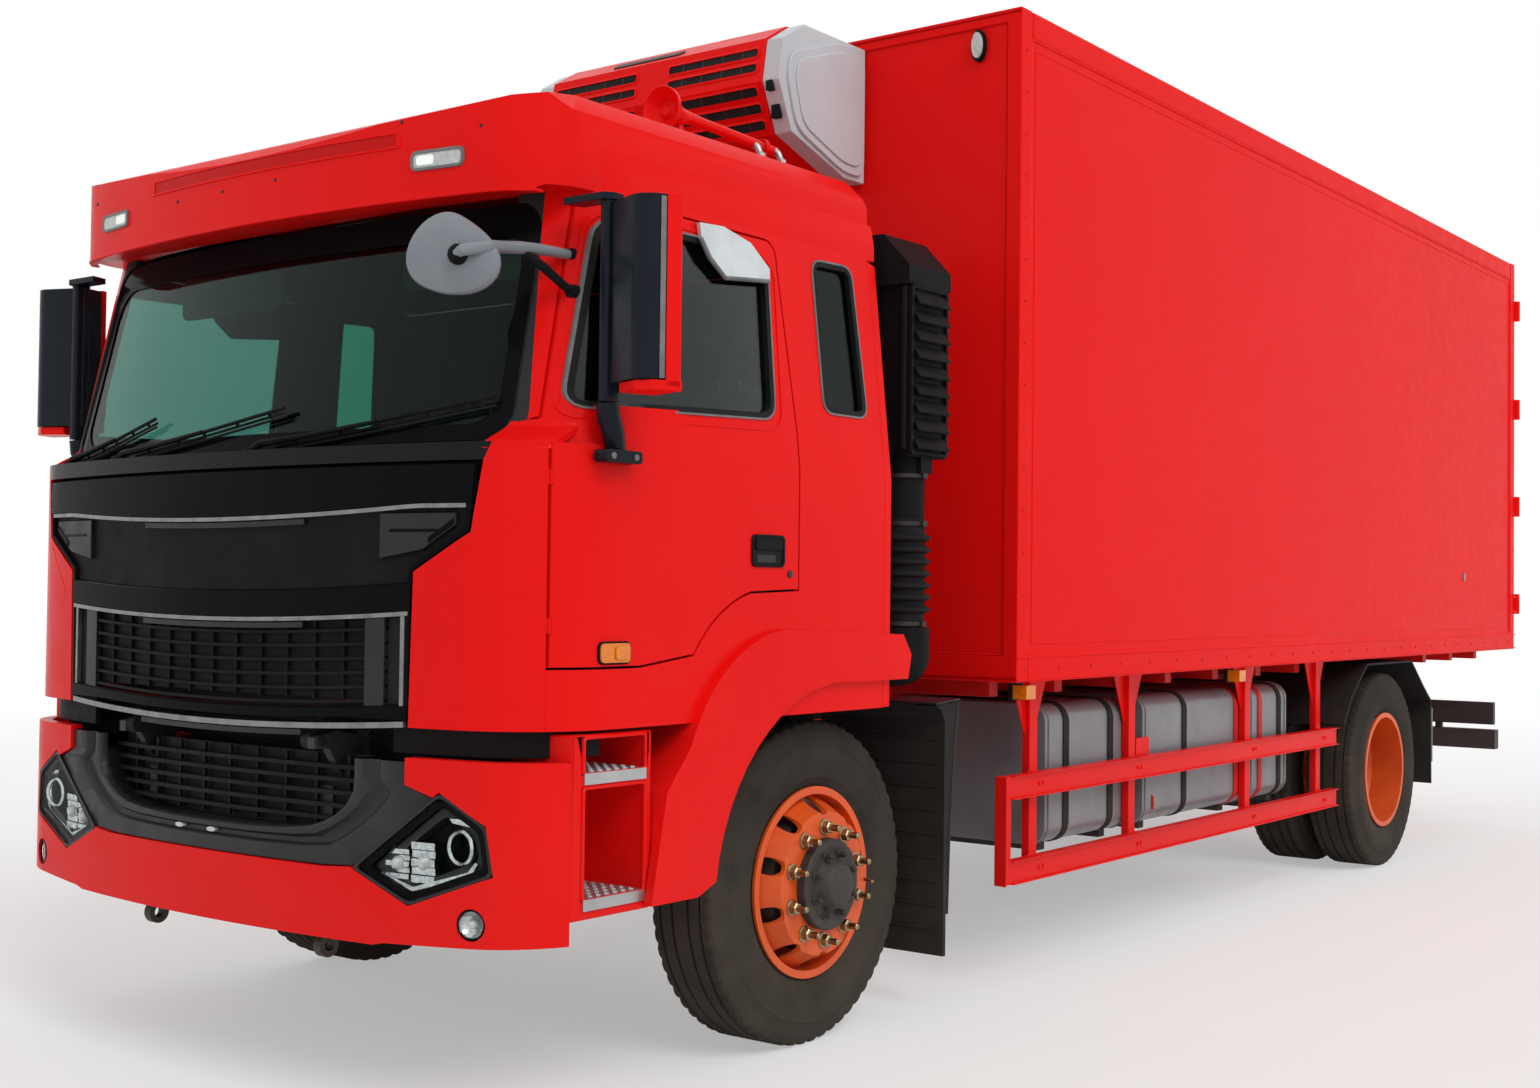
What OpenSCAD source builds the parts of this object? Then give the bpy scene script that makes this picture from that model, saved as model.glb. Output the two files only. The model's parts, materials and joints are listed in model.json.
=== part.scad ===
// Two-axle refrigerated delivery truck: tilting cab, insulated box, twin rear wheels.
// Millimetres. The truck faces -Y, its left side is +X and the ground is z = 0.
// Modules are written from the front axle: y = 0 there, and rearwards is +Y.

/* [Chassis] */
// Distance between the axles
wheelbase = 5000; // [4300:50:5900]
// Front axle to the front of the bumper
front_overhang = 1450; // [1400:10:1550]
// Rear axle to the rear faces of the cargo doors
rear_overhang = 2290; // [1600:10:2800]
// Distance from the centre line to the outside of each frame rail
rail_x = 430; // [380:5:450]
// Height of a frame rail
rail_h = 250; // [200:5:280]
// Top of the frame rails above the ground
rail_top = 960; // [940:5:975]
// Width of a frame rail's flanges
flange_w = 75; // [60:1:90]
// Thickness of the frame rails
rail_t = 8; // [6:1:12]

/* [Wheels] */
// Outer diameter of the tyres
tyre_d = 1012; // [940:2:1030]
// Width of the tyres
tyre_w = 276; // [240:2:290]
// Diameter of the wheel rims over the flanges
rim_d = 597; // [560:1:610]
// Centre line to the middle of a front tyre
front_track_x = 997; // [970:1:1010]
// Centre line to the middle of an outer rear tyre
rear_track_x = 1107; // [1080:1:1110]
// Distance between the middles of twin tyres
dual_gap = 326; // [306:1:340]

/* [Cab] */
// Width of the cab over its doors
cab_w = 2420; // [2300:10:2440]
// Top of the cab roof above the ground
cab_top = 2800; // [2700:10:2900]
// Back of the cab behind the front axle
cab_rear = 290; // [240:5:320]
// Thickness of the cab walls and doors
cab_wall = 45; // [35:1:60]
// Gap around doors and lids
seam = 7; // [5:1:10]
// Angle by which the windscreen leans back
rake = 13.5; // [8:0.5:16]
// Thickness of the windows
glass_t = 6; // [5:1:8]

/* [Cargo box] */
// Width of the cargo box
box_w = 2550; // [2400:10:2600]
// Height of the cargo box
box_h = 2410; // [2000:10:2600]
// Underside of the cargo box above the ground
box_bottom = 1100; // [1095:5:1140]
// Front of the cargo box behind the front axle
box_front = 1000; // [960:10:1100]
// Thickness of the side and front walls
box_wall = 80; // [60:1:100]
// Thickness of the floor and of the roof
box_floor_t = 100; // [80:1:120]
// Thickness of the cargo doors
cargo_door_t = 75; // [60:1:90]

/* [Equipment] */
// Width of the refrigeration unit
reefer_w = 1200; // [1000:10:1600]
// Reach of the refrigeration unit in front of the box
reefer_d = 545; // [440:5:580]
// Distance from the side of the box in to the side guards
guard_in = 75; // [45:5:125]
// Underside of the side guards above the ground
guard_z = 370; // [340:5:450]

/* [Hidden] */
$fn = 48;
length = front_overhang + wheelbase + rear_overhang;
axle_y = front_overhang - length / 2;
pin_out = 13;
pin_back = 24;
pin_r = 8;
knuckle_r = 14;
box_rear = wheelbase + rear_overhang - pin_back - knuckle_r;
axle_z = tyre_d / 2;
rail_z = rail_top - rail_h;
eps = 0.01;
fit = 0.3;
run = 0.5;
cab_x = cab_w / 2;
nose_y = -front_overhang;
nose_r = 5000;
corner_r = 330;
cab_z = 1045;
floor_z = 1062;
belt_z = 1800;
screen_z = 1850;
gutter_z = 2600;
roof_z = 2500;
screen_back = 100;
visor_back = 110;
roof_x = cab_x - 110;
tilt_y = nose_y + 50;
tilt_z = 990;
hinge_y = -1225;
door_pin_x = cab_x - 60;
door_pin_z = [1300, 1690];
door_pin_h = 40;
door_pin_r = 5;
kingpin_x = front_track_x - 97;
kingpin_r = 22;
spindle_r = 36;
arm_y = 150;
arm_z = axle_z - 105;
dish = dual_gap / 2;
disc_t = 14;
hub_r = 140;
fender_x = cab_x + 25;
deck_z = box_bottom + box_floor_t;
box_top = box_bottom + box_h;
box_x = box_w / 2;
skin_in = 7;
guard_x = box_x - guard_in;
cargo_pin_x = box_x + pin_out;
cargo_pin_y = box_rear + pin_back;
portal_w = 45;
portal_d = cargo_door_t + 5;

// ---- helpers ----

// A block given by its low and high corners.
module block(x0, x1, y0, y1, z0, z1) {
    translate([x0, y0, z0]) cube([x1 - x0, y1 - y0, z1 - z0]);
}

// An outline in (y, z), extruded along X.
module along_x(x0, x1) {
    translate([x0, 0, 0]) rotate([90, 0, 90]) linear_extrude(x1 - x0) children();
}

// An outline in (x, z), extruded along Y.
module along_y(y0, y1) {
    translate([0, y1, 0]) rotate([90, 0, 0]) linear_extrude(y1 - y0) children();
}

// A round bar along X, Y or Z.
module bar_x(x0, x1, y, z, r) {
    translate([x0, y, z]) rotate([0, 90, 0]) cylinder(h = x1 - x0, r = r);
}
module bar_y(x, y0, y1, z, r) {
    translate([x, y1, z]) rotate([90, 0, 0]) cylinder(h = y1 - y0, r = r);
}
module bar_z(x, y, z0, z1, r) {
    translate([x, y, z0]) cylinder(h = z1 - z0, r = r);
}

// The same shape on both sides.
module both() {
    children();
    mirror([1, 0, 0]) children();
}

// Places a module written from the front axle, or from the rear one.
module from_front() { translate([0, axle_y, 0]) children(); }
module from_rear() { translate([0, axle_y + wheelbase, 0]) children(); }

function arc(cx, cy, r, a0, a1, n) =
    [for (i = [0:n]) [cx + r * cos(a0 + (a1 - a0) * i / n), cy + r * sin(a0 + (a1 - a0) * i / n)]];

// Half of the nose outline: a wide arc that turns into the side through a corner arc.
function nose_half(hw, y0, r, big, n) =
    let (xc = hw - r, yc = y0 + big - sqrt(pow(big - r, 2) - xc * xc), a = asin(xc / (big - r)))
    concat(arc(0, y0 + big, big, -90, -90 + a, n), arc(xc, yc, r, -90 + a, 0, n));

// Full outline with a square back at y1.
function nose(hw, y0, y1, r = corner_r, big = nose_r, n = 9) =
    let (h = nose_half(hw, y0, r, big, n))
    concat(h, [[hw, y1], [-hw, y1]], [for (i = [len(h) - 1:-1:1]) [-h[i][0], h[i][1]]]);

// ---- chassis ----

module frame_rails() {
    color("crimson") from_front() both()
        along_y(nose_y + 200, box_rear - 120)
            difference() {
                translate([rail_x - flange_w, rail_z]) square([flange_w, rail_h]);
                translate([rail_x - flange_w - eps, rail_z + rail_t])
                    square([flange_w - rail_t + eps, rail_h - 2 * rail_t]);
            }
}

gearbox_end = 1100;
shaft_mid = 3300;
shaft_z = 740;
shaft_nose = 330;

// Cross members between the rails, spring hangers and the cab's front pivots.
cross_y = [nose_y + 260, gearbox_end + 80, 1900, shaft_mid, wheelbase - 900, wheelbase + 900,
    box_rear - 220];
cross_low = rail_top - 120;
spring_half = [690, 760];
spring_x = rail_x - flange_w / 2;
spring_eye_z = [rail_z - 70, rail_z - 34];
module cross_members() {
    in_x = rail_x - rail_t;
    color("crimson") from_front() {
        for (y = cross_y)
            block(-in_x, in_x, y - 40, y + 40, cross_low, rail_top - 30);
        for (i = [0, 1], s = [-1, 1]) both()
            translate([0, i * wheelbase + s * (spring_half[i] + 2), 0]) hanger(spring_eye_z[i]);
        both() difference() {
            along_x(rail_x, rail_x + 30)
                polygon([[nose_y + 210, rail_z + 40], [nose_y + 420, rail_z + 40],
                    [nose_y + 420, rail_top - 10], [tilt_y + 50, tilt_z + 28],
                    [tilt_y - 26, tilt_z + 10], [tilt_y - 26, bump_z1 + 5],
                    [tilt_y + 25, bump_z1 + 3]]);
            bar_x(rail_x - 1, rail_x + 31, tilt_y, tilt_z, 15 + run);
        }
        tank_brackets();
    }
}
module hanger(eye_z) {
    difference() {
        union() {
            block(spring_x - 52, spring_x - 42, -45, 45, eye_z - 30, rail_z);
            block(spring_x + 42, spring_x + 52, -45, 45, eye_z - 30, rail_z);
            block(spring_x - 52, spring_x + 52, -45, 45, rail_z - 6, rail_z);
        }
        bar_x(spring_x - 60, spring_x + 60, 0, eye_z, 12 + fit);
    }
    bar_x(spring_x - 56, spring_x + 56, 0, eye_z, 12);
}

// One leaf pack: a curved stack of leaves, longest on top, with an eye at each end.
module leaf_pack(axle) {
    half = spring_half[axle];
    eye_z = spring_eye_z[axle];
    t = leaf_t[axle];
    r = (half * half + pow(spring_sag[axle], 2)) / (2 * spring_sag[axle]);
    cy = eye_z - spring_sag[axle] + r;
    a = asin(half / r);
    difference() {
        union() {
            along_x(spring_x - 38, spring_x + 38)
                for (i = [0:leaf_count[axle] - 1])
                    let (f = a * (1 - i * 0.13), r0 = r + i * t - (i == 0 ? 0 : eps))
                    polygon(concat(arc(0, cy, r0, -90 - f, -90 + f, 14),
                        arc(0, cy, r + (i + 1) * t, -90 + f, -90 - f, 14)));
            for (s = [-1, 1]) bar_x(spring_x - 38, spring_x + 38, s * (half + 2), eye_z, 26);
        }
        for (s = [-1, 1]) bar_x(spring_x - 40, spring_x + 40, s * (half + 2), eye_z, 12 + fit);
    }
}
spring_sag = [95, 24];
leaf_count = [4, 4];
leaf_t = [16, 18];
function pack_low(i) = spring_eye_z[i] - spring_sag[i] - leaf_count[i] * leaf_t[i];
module leaf_springs() {
    color("dimgray") {
        from_front() both() leaf_pack(0);
        from_rear() both() leaf_pack(1);
    }
}

// Dropped I-beam with spring pads and an eye for each kingpin.
eye_half = 52;
beam_z = axle_z - 85;
module front_axle() {
    color("dimgray") from_front() difference() {
        union() {
            block(-640, 640, -45, 45, beam_z - 45, beam_z - 25);
            block(-640, 640, -45, 45, beam_z + 25, beam_z + 45);
            block(-640, 640, -14, 14, beam_z - 26, beam_z + 26);
            both() {
                along_y(-40, 40) polygon([[600, beam_z - 45], [640, beam_z - 45],
                    [kingpin_x - 72, axle_z - eye_half], [kingpin_x - 20, axle_z - eye_half],
                    [kingpin_x - 20, axle_z + eye_half],
                    [kingpin_x - 70, axle_z + eye_half], [600, beam_z + 45]]);
                bar_z(kingpin_x, 0, axle_z - eye_half, axle_z + eye_half, 46);
                block(spring_x - 48, spring_x + 48, -90, 90, beam_z + 44, pack_low(0));
            }
        }
        both() bar_z(kingpin_x, 0, 0, axle_z * 2, kingpin_r + run);
    }
}

// Banjo housing with a tube to each hub and a pad under each spring.
axle_tube_r = 62;
rear_hub_x = rear_track_x - dish;
rear_spindle_r = 50;
module rear_axle() {
    color("dimgray") from_rear() {
        bar_x(-rear_hub_x + 260, rear_hub_x - 260, 0, axle_z, axle_tube_r);
        both() bar_x(rear_hub_x - 261, rear_hub_x + 90, 0, axle_z, rear_spindle_r);
        translate([0, 0, axle_z]) rotate([90, 0, 0])
            rotate_extrude() polygon([[0, -120], [120, -110], [190, -60], [190, 60], [120, 110], [0, 120]]);
        bar_y(0, -shaft_nose, -100, axle_z, 70);
        both() block(spring_x - 48, spring_x + 48, -110, 110, axle_z + 40, pack_low(1));
    }
}

// Two shafts with round couplings, carried in the middle by a cross member.
module driveshaft() {
    y0 = gearbox_end;
    y1 = wheelbase - shaft_nose;
    color("gray") from_front() {
        for (seg = [[y0 + 30, shaft_z, shaft_mid - 60, shaft_z - 20],
                [shaft_mid + 60, shaft_z - 20, y1 - 30, axle_z]])
            let (dy = seg[2] - seg[0], dz = seg[3] - seg[1])
            translate([0, seg[0], seg[1]]) rotate([-90 + atan2(dz, dy), 0, 0])
            cylinder(h = norm([dy, dz]), r = 45);
        bar_y(0, y0, y0 + 60, shaft_z, 65);
        bar_y(0, y1 - 60, y1, axle_z, 65);
        bar_y(0, shaft_mid - 90, shaft_mid + 90, shaft_z - 20, 60);
        block(-60, 60, shaft_mid - 20, shaft_mid + 20, shaft_z - 80, cross_low);
    }
}

// The engine and gearbox as one plain block.
module engine_block() {
    color("gray") from_front() {
        block(-300, 300, -960, 200, 640, 1180);
        block(-190, 190, 199, gearbox_end, 620, 880);
        both() block(299, rail_x - rail_t, -500, -380, rail_z + 40, rail_z + 110);
    }
}

// Rounded metal tanks under the left side: one alone, then two end to end.
tank_y = [[1476, 2169], [2308, 3381], [3421, 3873]];
tank_x = [520, 1130];
tank_z = [465, 995];
module tank(y0, y1) {
    along_y(y0, y1) offset(r = 70) offset(delta = -70)
        translate([tank_x[0], tank_z[0]]) square([tank_x[1] - tank_x[0], tank_z[1] - tank_z[0]]);
}
module chassis_tanks() {
    color("silver") from_front() for (t = tank_y) tank(t[0], t[1]);
    // battery box, two air tanks and a locker under the right side
    color("darkslategray") from_front() mirror([1, 0, 0]) {
        block(tank_x[0], tank_x[1] - 20, tank_y[0][0], tank_y[0][1], tank_z[0] + 20, tank_z[1] - 60);
        for (x = [690, 950]) bar_y(x, tank_y[1][0], tank_y[1][1], tank_z[0] + 150, 125);
        block(tank_x[0], tank_x[1] - 20, tank_y[2][0], tank_y[2][1] + 300, tank_z[0], tank_z[1] - 100);
    }
}

// Shelf brackets from the rails, one under each end of a tank or box.
module tank_brackets() {
        for (y = [1560, 2060, 2420, 3240, 3470, 3800])
            bracket(y, tank_z[0]);
        mirror([1, 0, 0]) {
            for (y = [1560, 2060]) bracket(y, tank_z[0] + 20);
            for (y = [2420, 3240]) bracket(y, tank_z[0] + 25);
            for (y = [3500, 4080]) bracket(y, tank_z[0]);
        }
}
module bracket(y, z) {
    block(rail_x, rail_x + 40, y - 25, y + 25, z - 20, rail_top - 40);
    block(rail_x + 39, tank_x[1] - 60, y - 25, y + 25, z - 30, z);
}

// ---- bumpers, guards and steps ----

bump_z0 = 462;
bump_z1 = 965;
bump_x = cab_x + 25;
bump_t = 40;
bump_rear = -1190;
bump_r = 300;
lamp_z = [575, 880];
lamp_x = [600, 1060];
mouth_top = 784;
mouth_low = 500;
mouth_z = 655;

// The hexagon of a headlamp, in (x, z), grown by g.
module lamp_outline(g) {
    offset(delta = g)
        polygon([[lamp_x[0], 660], [895, lamp_z[1]], [1040, 800], [lamp_x[1], 670], [800, lamp_z[0]]]);
}
// The opening below the grille, in (x, z).
module mouth_outline(g) {
    offset(delta = g)
        both_2d() polygon([[-1, bump_z1 + 50], [mouth_top, bump_z1 + 50], [mouth_top, 894], [890, 860],
            [700, 700], [lamp_x[0], 662], [mouth_low, mouth_z], [-1, mouth_z]]);
}
tow_y = nose_y + 105;
tow_z = 415;
tow_r = 18;
fog_x = 1000;
fog_z = 543;
fog_r = 42;

// The curved skin of the bumper from depth t0 to depth t1.
module bumper_skin(t0, t1) {
    translate([0, 0, bump_z0]) linear_extrude(bump_z1 - bump_z0) intersection() {
        difference() {
            polygon(nose(bump_x - t0, nose_y + t0, 0, r = bump_r - t0, big = nose_r - t0));
            polygon(nose(bump_x - t1, nose_y + t1, 1, r = bump_r - t1, big = nose_r - t1));
        }
        translate([-bump_x, nose_y]) square([2 * bump_x, bump_rear - nose_y]);
    }
}
module front_bumper() {
    color("red") from_front() difference() {
        bumper_skin(0, bump_t);
        along_y(nose_y - 1, bump_rear + 1) {
            mouth_outline(0);
            both_2d() lamp_outline(0);
            // the lower edge steps up from the middle to the ends
            both_2d() polygon([[680, bump_z0 - 1], [bump_x + 1, bump_z0 - 1], [bump_x + 1, bump_z0 + 30], [720, bump_z0 + 8]]);
        }
        both() bar_y(fog_x, nose_y - 1, bump_rear, fog_z, fog_r);
    }
}
module both_2d() {
    children();
    mirror([1, 0]) children();
}

// Dark U-shaped frame and mesh that fill the bumper's opening, and the bumper's carrier.
module bumper_surround() {
    color("dimgray") from_front() {
        intersection() {
            bumper_skin(12, bump_t);
            along_y(nose_y - 1, bump_rear) difference() {
                intersection() {
                    mouth_outline(-fit);
                    translate([-bump_x, 0]) square([2 * bump_x, bump_z1 - 10]);
                }
                both_2d() lamp_outline(fit);
            }
        }
        // beam behind the skin, and a post with a tow eye in front of each rail
        intersection() {
            bumper_skin(bump_t, bump_t + 70);
            block(-lamp_x[0] + 10, lamp_x[0] - 10, nose_y, 0, 560, 690);
        }
        both() block(rail_x - 60, rail_x, nose_y + 54, nose_y + 200, 680, 860);
        both() difference() {
            block(rail_x - 45, rail_x - 15, nose_y + 60, nose_y + 160, 380, 800);
            bar_x(rail_x - 60, rail_x, tow_y, tow_z, tow_r);
        }
    }
}

module front_lamps() {
    color("lightgray") from_front() {
        both() intersection() {
            bumper_skin(6, 90);
            along_y(nose_y - 1, bump_rear) lamp_outline(-fit);
        }
        both() intersection() {
            bumper_skin(4, 60);
            bar_y(fog_x, nose_y - 1, bump_rear, fog_z, fog_r - fit);
        }
    }
}

// Frames of two rails, hung from the box by posts.
guard_y = [1041, 4364];
guard_posts = [1324, 2140, 3322, 4203];
guard_h = 390;
guard_bar = 85;
guard_deep = 68;
module side_guards() {
    color("crimson") from_front() both() {
        for (z = [guard_z, guard_z + guard_h - guard_bar])
            block(guard_x - 35, guard_x, guard_y[0] + 60, guard_y[1], z, z + guard_bar);
        block(guard_x - 35, guard_x, guard_y[0], guard_y[0] + 60, guard_z, guard_z + guard_h);
        for (y = guard_posts)
            block(guard_x - guard_deep, guard_x - 35, y - 30, y + 30, guard_z + 8, box_bottom);
    }
}

// Rubber flaps behind the front wheels and angular guards over the twin wheels.
flap_y = 620;
module mudguards() {
    color("#222222") from_front() both() {
        along_x(700, 1215) polygon([[flap_y, 190], [flap_y + 16, 190], [flap_y + 16, 1045],
            [flap_y - 40, 1045], [flap_y, 985]]);
        block(rail_x, 701, flap_y - 10, flap_y + 16, 900, 940);
    }
    color("#222222") from_rear() both() {
        along_x(630, 1250) polygon(guard_arc);
        for (y = [-280, 300]) block(640, 690, y - 20, y + 20, 1073, box_bottom);
    }
}

guard_arc = [[-665, 770], [-560, 900], [-330, 1062], [360, 1062], [590, 900], [690, 840],
    [700, 380], [712, 380], [702, 846], [598, 910], [366, 1074], [-336, 1074], [-568, 911], [-675, 778]];

// Step wells in front of the front wheels, each with two treads.
step_y = [bump_rear + 3, -872];
step_x = [930, cab_x - 10];
step_z = [550, 1035];
tread_z = [600, 930];
module step_boxes() {
    color("red") from_front() both() {
        difference() {
            block(step_x[0], step_x[1], step_y[0], step_y[1], step_z[0], step_z[1]);
            for (i = [0, 1])
                block(step_x[0] + 40, step_x[1] + 1, step_y[0] + 42, step_y[1] - 25, tread_z[i],
                    i == 0 ? tread_z[1] - 35 : step_z[1] - 8);
        }
        block(rail_x + 30, step_x[0] + 1, -1080, -1020, 760, 840);
    }
}

// Tall intake behind the cab: hooded cap, louvred box, pipe and the filter it feeds.
intake_x = [1060, 1205];
intake_y = [395, 620];
module air_intake() {
    px = 1110;
    py = 505;
    color("#1c1c1c") from_front() difference() {
        union() {
            block(intake_x[0], intake_x[1], intake_y[0], intake_y[1], 1868, 2455);
            along_y(intake_y[0] - 20, intake_y[1] + 15)
                polygon([[intake_x[0] - 30, 2440], [intake_x[1] + 10, 2440], [intake_x[1] + 8, 2500],
                    [intake_x[0] + 50, 2610], [intake_x[0] - 30, 2610]]);
            bar_z(px, py, 1270, 1869, 75);
            translate([px, py, 1200]) sphere(r = 95);
            bar_z(px, py, 1200, 1300, 95);
            bar_x(480, px, py, 1180, 80);
            bar_y(560, 360, 800, 1160, 170);
            block(rail_x - 60, rail_x + 240, 470, 690, rail_top, 1060);
        }
    }
}

// Underrun bar, lamp blocks and plate holder at the back.
module rear_bumper() {
    y1 = box_rear + 30;
    color("#303030") from_front() {
        block(-1180, 1180, y1 - 100, y1 - 20, 470, 590);
        both() block(rail_x - 80, rail_x - 8, box_rear - 120, y1 - 99, 480, rail_z + 60);
        both() block(rail_x - 70, rail_x - rail_t, box_rear - 320, box_rear - 119, rail_z + rail_t,
            rail_z + 60);
        both() block(760, 1160, y1 - 60, y1 - 20, 620, 760);
        both() block(800, 840, y1 - 56, y1 - 24, 589, 621);
    }
}

// ---- cargo box ----

wheel_zone = [wheelbase - 760, wheelbase + 770];
module box_subframe() {
    color("crimson") from_front() {
        both() block(rail_x - 72, rail_x - 2, box_front + 20, box_rear - 40, rail_top, box_bottom - 60);
        for (y = [box_front + 120:490:box_rear - 100])
            let (w = y > wheel_zone[0] && y < wheel_zone[1] ? 600 : guard_x - guard_deep - 20)
            block(-w, w, y - 30, y + 30, box_bottom - 60, box_bottom);
    }
}

wall_end = box_rear - portal_d;
module box_floor() {
    color("red") from_front()
        block(-box_x, box_x, box_front + box_wall, wall_end, box_bottom, deck_z);
}
module box_sides() {
    color("red") from_front() both() block(box_x - box_wall, box_x - skin_in, box_front + box_wall, wall_end,
        deck_z, box_top - box_floor_t);
}
module box_roof() {
    color("red") from_front()
        block(-box_x, box_x, box_front + box_wall, wall_end, box_top - box_floor_t, box_top);
}

// Front wall with a raised edge all round.
module box_front_wall() {
    color("red") from_front() difference() {
        block(-box_x, box_x, box_front, box_front + box_wall, box_bottom, box_top);
        block(-box_x + 60, box_x - 60, box_front - 1, box_front + skin_in, box_bottom + 95, box_top - 50);
    }
}

// Portal around the cargo doors, with ears and pins for their hinges.
hinge_z = [280, 890, 1500, 2120];
leaf_h = 90;
ear_h = 16;
module box_rear_frame() {
    color("red") from_front() {
        difference() {
            block(-box_x, box_x, wall_end, box_rear, box_bottom, box_top);
            block(-box_x + portal_w, box_x - portal_w, wall_end - 1, box_rear + 1,
                box_bottom + portal_w + 15, box_top - portal_w - 25);
        }
        both() for (z = hinge_z) translate([cargo_pin_x, cargo_pin_y, box_bottom + z]) {
            for (s = [-1, 1]) translate([0, 0, s * (leaf_h / 2 + 1 + ear_h / 2)]) {
                block(-pin_out - 22, 0, -pin_back, 10, -ear_h / 2, ear_h / 2);
                cylinder(h = ear_h, r = knuckle_r, center = true);
            }
            cylinder(h = leaf_h + 2 + 2 * ear_h, r = pin_r, center = true);
        }
    }
}

// One cargo door: insulated panel, hinge leaves, two lock bars with their keepers and a handle.
centre_gap = 7;
bar_off = 15;
bar_r = 11;
module cargo_door() {
    x1 = box_x - portal_w - seam;
    z0 = box_bottom + portal_w + 15 + seam;
    z1 = box_top - portal_w - 25 - seam;
    difference() {
        union() {
            block(centre_gap, x1, box_rear - cargo_door_t, box_rear, z0, z1);
            for (z = hinge_z) translate([0, 0, box_bottom + z]) {
                block(x1 - 160, x1, box_rear - 1, box_rear + 8, -leaf_h / 2, leaf_h / 2);
                block(x1 - 1, cargo_pin_x - 6, box_rear + 1, box_rear + 8, -leaf_h / 2, leaf_h / 2);
                block(cargo_pin_x - 12, cargo_pin_x + 0, box_rear + 2, cargo_pin_y,
                    -leaf_h / 2, leaf_h / 2);
                bar_z(cargo_pin_x, cargo_pin_y, -leaf_h / 2, leaf_h / 2, knuckle_r);
            }
        }
        for (z = hinge_z) translate([0, 0, box_bottom + z])
            bar_z(cargo_pin_x, cargo_pin_y, -leaf_h, leaf_h, pin_r + fit);
    }
    for (x = [240, 860]) {
        bar_z(x, box_rear + bar_off, z0 + 15, z1 - 15, bar_r);
        for (z = [z0 + 60, z0 + 700, z1 - 700, z1 - 60])
            block(x - 35, x + 35, box_rear - 0.5, box_rear + 20, z - 25, z + 25);
        block(x - 190, x, box_rear + 6, box_rear + 22, z0 + 470, z0 + 500);
        block(x - 190, x - 150, box_rear - 0.5, box_rear + 21, z0 + 460, z0 + 510);
    }
}
module cargo_door_left() { color("red") from_front() cargo_door(); }
module cargo_door_right() { color("red") from_front() mirror([1, 0, 0]) cargo_door(); }

// Cooling unit on the front wall: white housing, and an evaporator inside the box.
reefer_x = reefer_w / 2;
reefer_y = box_front - reefer_d;
reefer_z = [2955, 3470];
cover_t = 40;
cheek = 75;
function unit_side(g) = [[reefer_y + g, 3235], [reefer_y + 80 + g, reefer_z[0] + 105],
    [box_front - 130, reefer_z[0]], [box_front, reefer_z[0]], [box_front, reefer_z[1] - g],
    [reefer_y + 150, reefer_z[1] - g], [reefer_y + 25 + g, reefer_z[1] - 75 - g]];
module cooling_unit() {
    color("whitesmoke") from_front() {
        along_x(-reefer_x + cheek, reefer_x - cheek) polygon(unit_side(cover_t));
        both() along_x(reefer_x - cheek - eps, reefer_x) polygon(unit_side(6));
        block(-560, 560, box_front + box_wall, box_front + box_wall + 260, box_top - box_floor_t - 290,
            box_top - box_floor_t);
    }
}
module cooling_cover() {
    color("red") from_front() difference() {
        along_x(-reefer_x + cheek + fit, reefer_x - cheek - fit) polygon(unit_side(0));
        along_x(-reefer_x, reefer_x) polygon(unit_side(cover_t - fit));
        block(-reefer_x, reefer_x, box_front - 60, box_front + 1, 0, 4000);
    }
}

// ---- cab ----

// Half of the cab seen from the front, inset by t: upright sides, leaning windows, arched roof.
function cab_half(t) = [[cab_x + 8 - t, cab_z - 1], [cab_x + 8 - t, belt_z - 90], [cab_x - 82 - t, gutter_z - 40],
    [cab_x - 92 - t, gutter_z + 10], [cab_x - 120 - t, cab_top - 90 - t],
    [cab_x - 170 - t, cab_top - 32 - t], [cab_x - 260 - t, cab_top - 8 - t],
    [cab_x - 420 - t, cab_top - t]];
module cab_front_view(t) {
    h = cab_half(t);
    polygon(concat(h, [for (i = [len(h) - 1:-1:0]) [-h[i][0], h[i][1]]]));
}

// The closed body of the cab without its roof cap, inset by t.
module cab_body(t) {
    intersection() {
        union() {
            translate([0, 0, cab_z]) linear_extrude(belt_z - t - cab_z)
                polygon(nose(cab_x - t, nose_y + t, cab_rear - t, r = corner_r - t, big = nose_r - t));
            intersection() {
                translate([0, nose_y + screen_back + t, screen_z]) rotate([-rake, 0, 0])
                    translate([0, 0, -400])
                    linear_extrude(1400)
                    polygon(nose(cab_x + 3 - t, 0, 2400, r = corner_r - t, big = nose_r - t));
                block(-cab_x, cab_x, nose_y, cab_rear - t, belt_z - t - 1, cab_top);
            }
        }
        along_y(nose_y - 1, cab_rear + 1) cab_front_view(t);
        block(-cab_x, cab_x, nose_y - 1, cab_rear + 1, cab_z, roof_z);
    }
}
module cab_shell(t0, t1) {
    difference() {
        cab_body(t0);
        translate([0, 0, -eps]) cab_body(t1);
        translate([0, 0, 1]) cab_body(t1);
    }
}

// Side outlines in (y, z): the door, its window and the quarter window.
module door_outline(g) {
    offset(delta = g)
        polygon(concat([[hinge_y, 1212], [-935, 1212]], arc(-350, 985, 442, 145, 103, 8),
            [[-220, 1424], [-220, 1900], [-262, 2400]], arc(-312, 2425, 50, 0, 80, 4),
            [[-1055, 2480], [hinge_y + 35, belt_z + 70], [hinge_y, belt_z + 52]]));
}
module door_window(g) {
    offset(delta = g) offset(r = 45) offset(delta = -45)
        polygon([[-1150, 1905], [-330, 1935], [-315, 2385], [-410, 2430], [-1030, 2422]]);
}
module quarter_window(g) {
    offset(delta = g) offset(r = 35) offset(delta = -35)
        polygon([[-60, 1980], [160, 1980], [132, 2450], [-68, 2445]]);
}
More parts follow.
